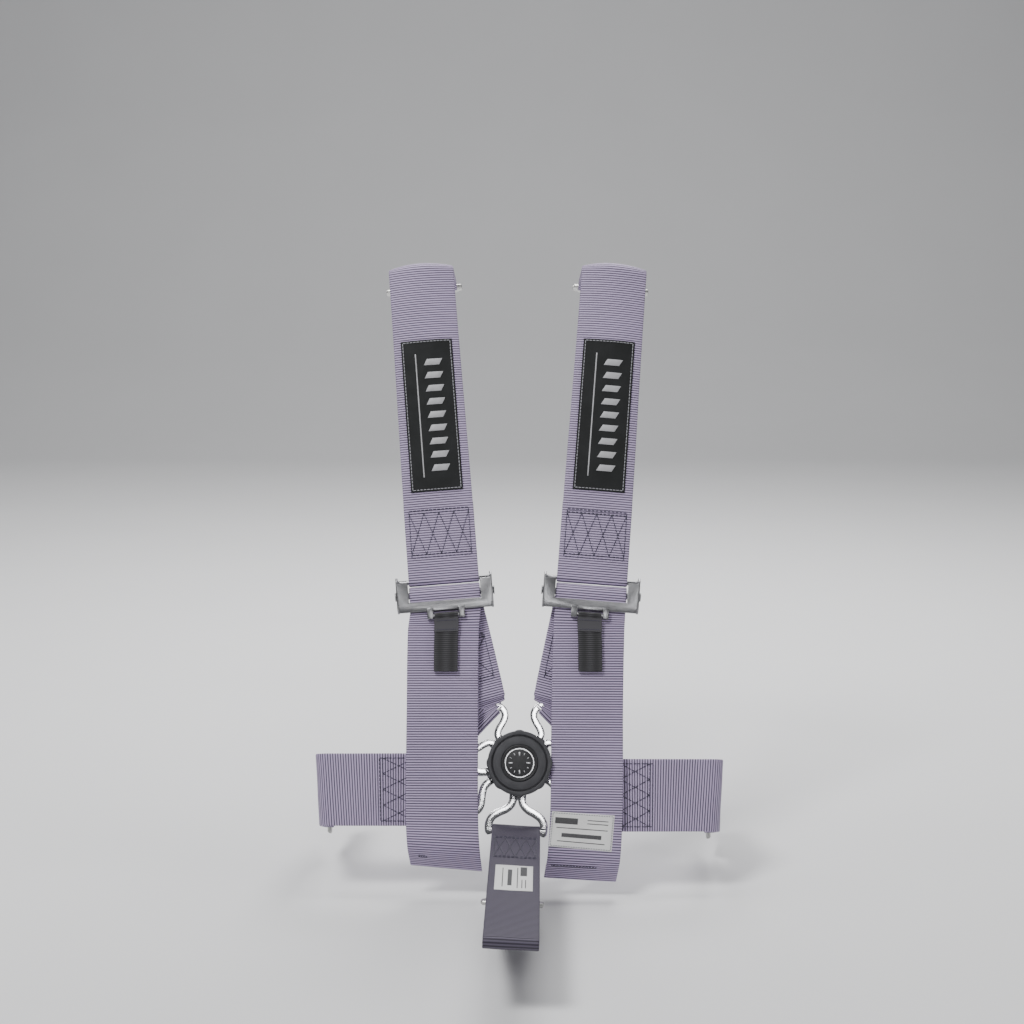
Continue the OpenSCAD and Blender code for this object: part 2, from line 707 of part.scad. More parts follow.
buckle_body();
buckle_back_cover();
buckle_rivets();
spindle();
fixed_tongue_rivet();
release_knob();
knob_badge();
cam_sleeve();
latch_plate();
latch_spring();
return_spring();
tongue_at(-shoulder_deg, shoulder_reach);  // tongue_shoulder_left
tongue_at(shoulder_deg, shoulder_reach);  // tongue_shoulder_right
tongue_at(-lap_deg, lap_reach);  // tongue_lap_left
tongue_at(lap_deg, lap_reach);  // tongue_lap_right
tongue_at(crotch_deg, crotch_reach);  // tongue_crotch
shoulder_strap(LEFT);  // shoulder_strap_left
shoulder_strap(RIGHT);  // shoulder_strap_right
upper_belt(LEFT);  // upper_belt_left
upper_belt(RIGHT);  // upper_belt_right
lap_belt(LEFT);  // lap_belt_left
lap_belt(RIGHT);  // lap_belt_right
crotch_webbing();  // crotch_strap
adjuster_frame(LEFT);  // adjuster_frame_left
adjuster_frame(RIGHT);  // adjuster_frame_right
slide_bar(LEFT);  // slide_bar_left
slide_bar(RIGHT);  // slide_bar_right
cross_bar(LEFT);  // cross_bar_left
cross_bar(RIGHT);  // cross_bar_right
tab_pin(LEFT);  // tab_pin_left
tab_pin(RIGHT);  // tab_pin_right
pull_tab(LEFT);  // pull_tab_left
pull_tab(RIGHT);  // pull_tab_right
patch(LEFT);  // patch_left
patch(RIGHT);  // patch_right
tag_shoulder();
tag_crotch();
anchor_shoulder(LEFT);  // anchor_shoulder_left
anchor_shoulder(RIGHT);  // anchor_shoulder_right
anchor_lap(LEFT);  // anchor_lap_left
anchor_lap(RIGHT);  // anchor_lap_right
anchor_crotch();
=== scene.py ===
import json
import math
from math import cos, pi, radians, sin

import bpy
from mathutils import Matrix, Vector, noise

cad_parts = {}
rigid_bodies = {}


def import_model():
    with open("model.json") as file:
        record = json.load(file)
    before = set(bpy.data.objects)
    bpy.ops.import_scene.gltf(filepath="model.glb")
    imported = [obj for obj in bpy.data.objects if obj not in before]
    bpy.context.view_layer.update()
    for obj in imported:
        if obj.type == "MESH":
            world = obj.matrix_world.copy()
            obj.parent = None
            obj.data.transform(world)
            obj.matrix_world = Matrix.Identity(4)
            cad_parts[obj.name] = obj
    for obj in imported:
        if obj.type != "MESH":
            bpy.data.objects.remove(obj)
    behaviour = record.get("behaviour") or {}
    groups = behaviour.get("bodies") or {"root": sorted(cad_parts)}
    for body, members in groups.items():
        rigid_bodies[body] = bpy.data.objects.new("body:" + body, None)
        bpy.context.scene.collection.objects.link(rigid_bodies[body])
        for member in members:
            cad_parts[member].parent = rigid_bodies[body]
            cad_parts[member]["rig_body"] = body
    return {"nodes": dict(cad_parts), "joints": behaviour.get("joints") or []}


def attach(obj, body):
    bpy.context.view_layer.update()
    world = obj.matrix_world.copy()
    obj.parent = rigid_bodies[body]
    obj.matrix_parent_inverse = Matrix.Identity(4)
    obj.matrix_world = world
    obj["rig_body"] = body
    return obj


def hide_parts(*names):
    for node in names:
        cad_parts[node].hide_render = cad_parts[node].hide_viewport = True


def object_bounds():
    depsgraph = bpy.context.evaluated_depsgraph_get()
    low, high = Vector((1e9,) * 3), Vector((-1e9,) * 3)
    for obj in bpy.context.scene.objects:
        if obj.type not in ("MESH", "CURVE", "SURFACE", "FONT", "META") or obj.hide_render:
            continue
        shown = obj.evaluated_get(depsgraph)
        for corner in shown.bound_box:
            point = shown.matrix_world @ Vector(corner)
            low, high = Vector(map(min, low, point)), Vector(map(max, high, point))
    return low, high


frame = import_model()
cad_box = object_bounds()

bpy.ops.object.select_all(action="DESELECT")
joints = {joint["name"]: joint for joint in frame["joints"]}


# ---- Camera, floor and lights ----
# The harness hangs as it would on a wearer, so the floor lies a little below its lowest anchor
# plate. Soft boxes in front, behind and on the backdrop light it, under a dim plain sky.

camera = bpy.data.objects.new("camera", bpy.data.cameras.new("camera"))
camera.location = (-0.00791, -1.81023, 0.55984)
camera.rotation_euler = (radians(81), 0, 0)
camera.data.lens = 61.648
camera.data.sensor_width = 36
bpy.context.scene.collection.objects.link(camera)
bpy.context.scene.camera = camera


class Value:
    """A number or colour inside a material, so that shader maths is written as an expression."""

    def __init__(self, finish, socket):
        self.finish = finish
        self.socket = socket

    def maths(self, operation, a, b=0.0):
        return self.finish.node("ShaderNodeMath", {"operation": operation}, {0: a, 1: b})

    def wave(self):
        return self.maths("COSINE", self) * 0.5 + 0.5

    def whole(self):
        return self.maths("FLOOR", self)

    def to_power(self, exponent):
        return self.maths("POWER", self, exponent)

    def __add__(self, other):
        return self.maths("ADD", self, other)

    def __sub__(self, other):
        return self.maths("SUBTRACT", self, other)

    def __rsub__(self, other):
        return self.maths("SUBTRACT", other, self)

    def __mul__(self, other):
        return self.maths("MULTIPLY", self, other)

    __radd__ = __add__
    __rmul__ = __mul__


class Finish:
    """One material: its fixed values are set on the shader, and its nodes come from node()."""

    def __init__(self, name, fixed):
        self.material = bpy.data.materials.new(name)
        self.material.use_nodes = True
        self.tree = self.material.node_tree
        self.shader = self.tree.nodes["Principled BSDF"]
        for socket, value in fixed.items():
            self.shader.inputs[socket].default_value = value

    def node(self, kind, settings, sockets, out=0):
        made = self.tree.nodes.new(kind)
        for setting, value in settings.items():
            setattr(made, setting, value)
        self.join(made, sockets)
        return Value(self, made.outputs[out])

    def join(self, made, sockets):
        for socket, value in sockets.items():
            if isinstance(value, Value):
                self.tree.links.new(value.socket, made.inputs[socket])
            else:
                made.inputs[socket].default_value = value

    def noise(self, scale, detail=3.0, place=None):
        where = place or self.node("ShaderNodeTexCoord", {}, {}, "Object")
        return self.node("ShaderNodeTexNoise", {}, {"Vector": where, "Scale": scale, "Detail": detail})

    def tint(self, low, high, amount):
        return self.node("ShaderNodeMix", {"data_type": "RGBA"}, {0: amount, 6: low, 7: high}, 2)

    def bump(self, height, depth, strength=1.0):
        lumps = self.node("ShaderNodeBump", {}, {"Height": height, "Distance": depth, "Strength": strength})
        self.join(self.shader, {"Normal": lumps})


floor_finish = Finish("pale_floor", {"Roughness": 0.85})
floor_finish.join(floor_finish.shader, {
    "Base Color": floor_finish.tint((0.76, 0.76, 0.77, 1), (0.8, 0.8, 0.81, 1), floor_finish.noise(3))})
floor_gap = 0.02
bpy.ops.mesh.primitive_plane_add(size=14, location=(0, -3.4, cad_box[0].z - floor_gap))
floor = bpy.context.object
floor.name = "floor"
bpy.ops.object.mode_set(mode="EDIT")
bpy.ops.mesh.select_all(action="DESELECT")
bpy.ops.object.mode_set(mode="OBJECT")
for edge in floor.data.edges:
    edge.select = all(floor.data.vertices[i].co.y > 0 for i in edge.vertices)
bpy.ops.object.mode_set(mode="EDIT")
for rise, back in ((0.3, 0.9), (0.9, 0.9), (2.2, 0.9), (5, 0.4)):
    bpy.ops.mesh.extrude_region_move(TRANSFORM_OT_translate={"value": (0, back, rise)})
bpy.ops.object.mode_set(mode="OBJECT")
bpy.ops.object.shade_smooth()
floor.data.materials.append(floor_finish.material)

for name, place, aim, size, power in (
        ("key_box", (-1.0, -1.1, 2.3), (0, 0, 0.15), 0.7, 52),
        ("front_box", (0.1, -2.3, 1.2), (0, 0, 0.05), 0.55, 9),
        ("fill_box", (2.0, -0.8, 0.9), (0, 0, 0.1), 0.8, 9),
        ("back_box", (0.3, 1.5, 1.9), (0, 0, 0.2), 1.2, 34),
        ("wall_box", (0, 0.9, 2.6), (0, 3.4, 0.6), 2.2, 90)):
    lamp = bpy.data.objects.new(name, bpy.data.lights.new(name, "AREA"))
    lamp.data.size = size
    lamp.data.energy = power
    lamp.location = place
    lamp.rotation_euler = (Vector(aim) - Vector(place)).to_track_quat("-Z", "Y").to_euler()
    bpy.context.scene.collection.objects.link(lamp)
world = bpy.data.worlds.new("studio")
world.use_nodes = True
world.node_tree.nodes["Background"].inputs["Color"].default_value = (0.86, 0.88, 0.92, 1)
world.node_tree.nodes["Background"].inputs["Strength"].default_value = 0.1
bpy.context.scene.world = world


# ---- Buckle ----
# A cast body with five slots and a pressed back cover, both powder coated black and riveted
# together. The knob turns on a steel spindle, and the parts inside are plain turned steel.

def eased(node, name, width, segments=2, finish=None, sharp=30):
    """Copies a CAD node, breaks its sharp edges, and puts the copy in its place."""
    source = frame["nodes"][node]
    piece = bpy.data.objects.new(name, source.data.copy())
    bpy.context.scene.collection.objects.link(piece)
    bpy.context.view_layer.objects.active = piece
    piece.select_set(True)
    bpy.ops.object.mode_set(mode="EDIT")
    bpy.ops.mesh.select_all(action="SELECT")
    bpy.ops.mesh.remove_doubles(threshold=0.00002)
    bpy.ops.mesh.dissolve_limited(angle_limit=radians(0.6))
    bpy.ops.object.mode_set(mode="OBJECT")
    edges = piece.modifiers.new("edges", "BEVEL")
    edges.width = width
    edges.segments = segments
    edges.angle_limit = radians(sharp)
    edges.use_clamp_overlap = False
    bpy.ops.object.modifier_apply(modifier="edges")
    bpy.ops.object.shade_smooth_by_angle(angle=radians(40))
    piece.data.materials.clear()
    piece.data.materials.append(finish.material)
    piece.select_set(False)
    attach(piece, source["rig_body"])
    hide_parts(node)
    return piece


def wear(node, finish):
    """Gives a CAD node that is shown as it is a finish of its own."""
    mesh = frame["nodes"][node].data
    mesh.materials.clear()
    mesh.materials.append(finish.material)


powder_coat = Finish("black_powder_coat", {"Metallic": 0.0, "Roughness": 0.5, "Coat Weight": 0.15})
powder_coat.join(powder_coat.shader, {
    "Base Color": powder_coat.tint((0.012, 0.012, 0.014, 1), (0.028, 0.028, 0.031, 1), powder_coat.noise(90)),
    "Roughness": powder_coat.noise(400) * 0.2 + 0.38})
powder_coat.bump(powder_coat.noise(1600), 0.00008)
eased("buckle_body", "body_casting", 0.0008, finish=powder_coat)
eased("buckle_back_cover", "back_cover", 0.0005, finish=powder_coat)

turned_steel = Finish("turned_steel", {"Metallic": 1.0})
turned_steel.join(turned_steel.shader, {
    "Base Color": turned_steel.tint((0.42, 0.42, 0.43, 1), (0.66, 0.66, 0.67, 1), turned_steel.noise(260)),
    "Roughness": turned_steel.noise(900) * 0.25 + 0.2})
turned_steel.bump(turned_steel.noise(2200, 2), 0.00004)
for node in ("buckle_rivets", "spindle", "fixed_tongue_rivet", "cam_sleeve", "latch_plate", "latch_spring",
             "return_spring", "tab_pin_left", "tab_pin_right"):
    wear(node, turned_steel)


# ---- Release knob ----
# A turned and anodised aluminium knob with eight finger lobes. A moulded badge is pressed into
# its face, and a raised ring and turn marks stand on the badge.

knob_grey = Finish("anodised_grey", {"Metallic": 0.35})
knob_grey.join(knob_grey.shader, {
    "Base Color": knob_grey.tint((0.045, 0.045, 0.05, 1), (0.07, 0.07, 0.077, 1), knob_grey.noise(70)),
    "Roughness": knob_grey.noise(700) * 0.18 + 0.42})
knob_grey.bump(knob_grey.noise(2600, 2), 0.00005)
eased("release_knob", "knob_turning", 0.0011, 3, knob_grey)

badge_black = Finish("badge_moulding", {"Metallic": 0.0})
badge_black.join(badge_black.shader, {
    "Base Color": badge_black.tint((0.011, 0.011, 0.012, 1), (0.03, 0.03, 0.033, 1), badge_black.noise(160)),
    "Roughness": badge_black.noise(500) * 0.2 + 0.35})
badge_black.bump(badge_black.noise(1900), 0.00012)
eased("knob_badge", "badge_disc", 0.0004, 2, badge_black)

front = Vector(joints["latch_lift"]["axis"])
up_belt = Vector((0, front.z, -front.y))
right = Vector((1, 0, 0))


def on_belt(x, v, n):
    """The place x across, v up the belt plane and n in front of it, all in millimetres."""
    return (right * x + up_belt * v + front * n) / 1000


def belt_axes(x=0, v=0, n=0, turn=0):
    """Axes in the belt plane at a place, turned clockwise as seen from the front."""
    a = radians(turn)
    across = right * cos(a) - up_belt * sin(a)
    along = right * sin(a) + up_belt * cos(a)
    place = on_belt(x, v, n)
    return Matrix(((across.x, along.x, front.x, place.x), (across.y, along.y, front.y, place.y),
                   (across.z, along.z, front.z, place.z), (0, 0, 0, 1)))


def settle(piece, axes, finish, body, angle=40):
    """Ends the modelling of a piece made at the origin: puts its place in its mesh and finishes it."""
    bpy.ops.object.mode_set(mode="OBJECT")
    piece.data.transform(axes @ piece.matrix_basis)
    piece.matrix_basis = Matrix.Identity(4)
    bpy.ops.object.shade_smooth_by_angle(angle=radians(angle))
    piece.data.materials.append(finish.material)
    piece.select_set(False)
    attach(piece, body)


badge_silver = Finish("badge_silver", {"Metallic": 1.0})
badge_silver.join(badge_silver.shader, {
    "Base Color": badge_silver.tint((0.5, 0.5, 0.52, 1), (0.72, 0.72, 0.74, 1), badge_silver.noise(300)),
    "Roughness": badge_silver.noise(900) * 0.2 + 0.22})
badge_top = max((front.dot(v.co) for v in frame["nodes"]["knob_badge"].data.vertices)) * 1000
ring_r, ring_w, relief = 15.0, 1.0, 0.4
bpy.ops.mesh.primitive_circle_add(vertices=96, radius=(ring_r + ring_w / 2) / 1000, fill_type="NGON")
ring = bpy.context.object
ring.name = "badge_ring"
bpy.ops.object.mode_set(mode="EDIT")
bpy.ops.mesh.inset(thickness=ring_w / 1000)
bpy.ops.mesh.delete(type="FACE")
bpy.ops.object.mode_set(mode="OBJECT")
bpy.ops.object.mode_set(mode="EDIT")
bpy.ops.mesh.select_all(action="SELECT")
bpy.ops.mesh.extrude_region_move(TRANSFORM_OT_translate={"value": (0, 0, relief / 1000)})
bpy.ops.mesh.select_all(action="SELECT")
bpy.ops.mesh.normals_make_consistent(inside=False)
settle(ring, belt_axes(n=badge_top - 0.05), badge_silver, "knob")
for number in range(12):
    long = number % 3 == 0
    bpy.ops.mesh.primitive_cube_add(size=0.001)
    mark = bpy.context.object
    mark.name = f"badge_mark_{number + 1}"
    bpy.ops.object.mode_set(mode="EDIT")
    bpy.ops.transform.resize(value=(1.5 if long else 0.8, 4.2 if long else 2.2, relief))
    bpy.ops.transform.translate(value=(0, (9.4 if long else 10.4) / 1000, relief / 2000))
    bpy.ops.mesh.bevel(offset=0.00012, segments=2)
    settle(mark, belt_axes(n=badge_top - 0.05, turn=number * 30), badge_silver, "knob")


# ---- Tongues ----
# Five tongues pressed from 3 mm steel, each with a blade for the buckle, two bent arms and a
# round bar for the webbing. A latch pin drops through the blade's window. They are chrome plated.

chrome = Finish("polished_chrome", {"Metallic": 1.0})
chrome.join(chrome.shader, {
    "Base Color": chrome.tint((0.74, 0.74, 0.76, 1), (0.9, 0.9, 0.92, 1), chrome.noise(120)),
    "Roughness": chrome.noise(500) * 0.14 + 0.06})
chrome.bump(chrome.noise(900, 2), 0.00003)
tongue_t, tongue_n, bar_r, bar_l = 3.0, 6.5, 2.5, 61.5
long_arm = [(4.4, 30), (4.5, 37), (6.6, 43.5), (12, 48.5), (19, 52), (25.5, 56.5), (29, 63), (29.2, 70),
            (27.4, 75.5)]
short_arm = [(4.4, 28), (4.5, 35), (6.8, 39), (12, 41.6), (19, 43.2), (25.5, 46), (29, 51), (29.2, 58),
             (27.6, 63)]
lap_arm = [(4.8, 30), (5.2, 38.5), (8.4, 46.5), (14.5, 51.5), (21, 55), (26.5, 59), (29, 64.5),
           (29.2, 70), (27.4, 75.5)]
long_reach, blade_w, blade_tip, pin_at, window_r = 69, 18, 18, 24, 3.4
bars = {}
for place, pull, body in (("shoulder_left", "tongue_shoulder_left_pull", "shoulder_left"),
                          ("shoulder_right", "tongue_shoulder_right_pull", "shoulder_right"),
                          ("lap_left", None, "buckle"), ("lap_right", "tongue_lap_right_pull", "lap_right"),
                          ("crotch", "tongue_crotch_pull", "crotch")):
    way = Vector(joints[pull or "tongue_lap_right_pull"]["axis"])
    if not pull:
        way.x = -way.x
    turn = math.degrees(math.atan2(way.x, up_belt.dot(way)))
    reach, arm_w = {"s": (57, 7.4), "l": (66, 8.4), "c": (long_reach, 8.4)}[place[0]]
    bars[place] = (turn, reach)
    arm = {"s": short_arm, "l": lap_arm, "c": long_arm}[place[0]]
    arm = arm if place[0] == "s" else [(x, y + reach - long_reach) for x, y in arm]
    parts = []
    bpy.ops.mesh.primitive_cube_add(size=0.001)
    blade = bpy.context.object
    bpy.ops.object.mode_set(mode="EDIT")
    bpy.ops.transform.resize(value=(blade_w, arm[1][1] + 1.5 - blade_tip, tongue_t))
    bpy.ops.transform.translate(value=(0, (arm[1][1] + 1.5 + blade_tip) / 2000, 0))
    bpy.ops.mesh.bevel(offset=0.0007, segments=3)
    bpy.ops.object.mode_set(mode="OBJECT")
    bpy.ops.mesh.primitive_cylinder_add(vertices=48, radius=window_r / 1000, depth=0.012,
                                        location=(0, pin_at / 1000, 0))
    punch = bpy.context.object
    window = blade.modifiers.new("window", "BOOLEAN")
    window.object = punch
    window.solver = "EXACT"
    bpy.context.view_layer.objects.active = blade
    bpy.ops.object.modifier_apply(modifier="window")
    bpy.data.objects.remove(punch)
    parts.append(blade)
    bpy.ops.mesh.primitive_cylinder_add(vertices=32, radius=bar_r / 1000, depth=bar_l / 1000,
                                        location=(0, reach / 1000, 0), rotation=(0, pi / 2, 0))
    parts.append(bpy.context.object)
    for hand in (-1, 1):
        steps = []
        for i in range(len(arm) - 1):
            p0, p1, p2, p3 = (Vector(arm[max(i - 1, 0)]), Vector(arm[i]), Vector(arm[i + 1]),
                              Vector(arm[min(i + 2, len(arm) - 1)]))
            for k in range(6):
                t = k / 6
                steps.append(0.5 * (2 * p1 + (p2 - p0) * t + (2 * p0 - 5 * p1 + 4 * p2 - p3) * t * t
                                    + (3 * p1 - p0 - 3 * p2 + p3) * t**3))
        steps.append(Vector(arm[-1]))
        verts = []
        for i, spot in enumerate(steps):
            ahead = (steps[min(i + 1, len(steps) - 1)] - steps[max(i - 1, 0)]).normalized()
            wide = arm_w / 2 * (1 if i < len(steps) - 5 else 1 - 0.12 * (i - len(steps) + 5))
            aside = Vector((ahead.y, -ahead.x)) * wide
            for corner in (spot - aside, spot + aside):
                for z in (-tongue_t / 2, tongue_t / 2):
                    verts.append((hand * corner.x / 1000, corner.y / 1000, z / 1000))
        faces = []
        for i in range(len(steps) - 1):
            n = i * 4
            faces += [(n, n + 4, n + 6, n + 2), (n + 1, n + 3, n + 7, n + 5), (n, n + 1, n + 5, n + 4),
                      (n + 2, n + 6, n + 7, n + 3)]
        last = (len(steps) - 1) * 4
        faces += [(0, 2, 3, 1), (last, last + 1, last + 3, last + 2)]
        plate = bpy.data.meshes.new("arm")
        plate.from_pydata(verts, [], faces)
        side_arm = bpy.data.objects.new("arm", plate)
        bpy.context.scene.collection.objects.link(side_arm)
        bpy.ops.object.select_all(action="DESELECT")
        bpy.context.view_layer.objects.active = side_arm
        side_arm.select_set(True)
        bpy.ops.object.mode_set(mode="EDIT")
        bpy.ops.mesh.select_all(action="SELECT")
        bpy.ops.mesh.normals_make_consistent(inside=False)
        bpy.ops.object.mode_set(mode="OBJECT")
        soft = side_arm.modifiers.new("edges", "BEVEL")
        soft.width = 0.0007
        soft.segments = 3
        soft.angle_limit = radians(50)
        bpy.ops.object.modifier_apply(modifier="edges")
        parts.append(side_arm)
    bpy.ops.object.select_all(action="DESELECT")
    for part in parts:
        part.select_set(True)
    bpy.context.view_layer.objects.active = blade
    bpy.ops.object.transform_apply(location=True, rotation=True, scale=True)
    bpy.ops.object.join()
    blade.name = f"tongue_forging_{place}"
    settle(blade, belt_axes(n=tongue_n, turn=turn), chrome, body, 35)
    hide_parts(f"tongue_{place}")


# ---- Adjusters ----
# Each adjuster is a frame pressed from 2.5 mm sheet with two ears, a front lip and two horns for
# the pull tab. A slide bar and a cross bar run between the ears, and all of it is satin plated.

satin_steel = Finish("satin_steel", {"Metallic": 1.0})
satin_steel.join(satin_steel.shader, {
    "Base Color": satin_steel.tint((0.2, 0.2, 0.21, 1), (0.34, 0.34, 0.35, 1), satin_steel.noise(150)),
    "Roughness": satin_steel.noise(600) * 0.2 + 0.22})
satin_steel.bump(satin_steel.noise(1500, 2), 0.00004)


def adjuster_axes(side):
    """Axes at an adjuster's slide bar: x across the belt, y up it and z to the front."""
    x = -Vector(joints[f"adjuster_{side}_tilt"]["axis"])
    y = -Vector(joints[f"slide_bar_{side}_travel"]["axis"])
    place = Vector(joints[f"adjuster_{side}_tilt"]["pos_m"])
    return Matrix(((x.x, y.x, front.x, place.x), (x.y, y.y, front.y, place.y),
                   (x.z, y.z, front.z, place.z), (0, 0, 0, 1)))


for side in ("left", "right"):
    eased(f"adjuster_frame_{side}", f"adjuster_pressing_{side}", 0.0006, 3, satin_steel)
    eased(f"slide_bar_{side}", f"slide_bar_turning_{side}", 0.0004, 2, satin_steel)
    eased(f"cross_bar_{side}", f"cross_bar_turning_{side}", 0.0004, 2, satin_steel)


# ---- Webbing ----
# All belts are woven polyester with fine cross ribs and a firm selvage. Each is one length that
# loops round a metal bar at its end and is sewn back on itself.

rib_pitch = 2.7
rib_height = 0.34
webbing_t = 2.0
loop_gap = 0.3
ply_gap = 0.2
rows_per_rib = 4
across_steps = (-1, -0.985, -0.95, -0.86, -0.7, -0.5, -0.25, 0, 0.25, 0.5, 0.7, 0.86, 0.95, 0.985, 1)
edge_profile = {1: 0.3, 0.985: 0.82, 0.95: 1.04}


def webbing_finish(name, groove_shade, crown, pitch, yarn=1.5, sheen_stripe=0.0):
    """Ribbed webbing. The grooves between the ribs get a far darker colour than the crowns, which is painted
    shade, and an optional stripe wave lightens bands across the webbing as painted sheen. The weave map holds
    millimetres across and along the webbing.
    """
    finish = Finish(name, {"Metallic": 0.0, "Sheen Weight": 0.1, "Sheen Roughness": 0.4})
    weave = finish.node("ShaderNodeUVMap", {"uv_map": "weave"}, {})
    across = finish.node("ShaderNodeSeparateXYZ", {}, {0: weave}, "X")
    along = finish.node("ShaderNodeSeparateXYZ", {}, {0: weave}, "Y")
    # The rib wave also sets the colour: it darkens each groove between ribs as painted shade
    rib = (along * (2 * pi / pitch)).wave().to_power(0.8)
    cross = (across * (2 * pi / yarn) + (along * (1 / pitch) + 0.5).whole() * pi).wave()
    patchy = finish.noise(14, 4)
    fuzz = finish.noise(1400, 2)
    # Painted shade in the rib grooves, mixed with the real weave pattern, random patchy tone and fuzz
    painted_light_and_tone = rib * 1.05 + cross * 0.08 + patchy * 0.22 + fuzz * 0.1 - 0.2
    # Painted sheen: lighter bands across the webbing
    if sheen_stripe:
        painted_light_and_tone = painted_light_and_tone * ((across * (2 * pi / 12.7)).wave() * sheen_stripe + (1 - sheen_stripe))
    finish.join(finish.shader, {
        "Base Color": finish.tint(groove_shade, crown, painted_light_and_tone),
        "Roughness": patchy * 0.15 + 0.5 + (1 - rib) * 0.15})
    finish.bump(rib * 0.5 + cross * 0.3 + fuzz * 0.3, 0.00022, 0.8)
    return finish


def side_loop(p, heading, turn, r, ply):
    """Side view of a sewn loop: webbing arrives at p, turns round a bar and is sewn back."""
    def unit(angle):
        return Vector((cos(radians(angle)), sin(radians(angle))))
    centre = p + r * unit(heading + 90 * turn)
    back = (webbing_t + ply_gap) * unit(heading + 90 * turn)
    bend = [centre + r * unit(heading - 90 * turn + 15 * k * turn) for k in range(15)]
    return bend + [p - unit(heading) * 3.4 * r + back, p - unit(heading) * ply + back]


def side_arc(centre, r, start, end, steps=8):
    return [Vector(centre) + r * Vector((cos(a), sin(a))) for a in
            (radians(start + (end - start) * k / steps) for k in range(steps + 1))]


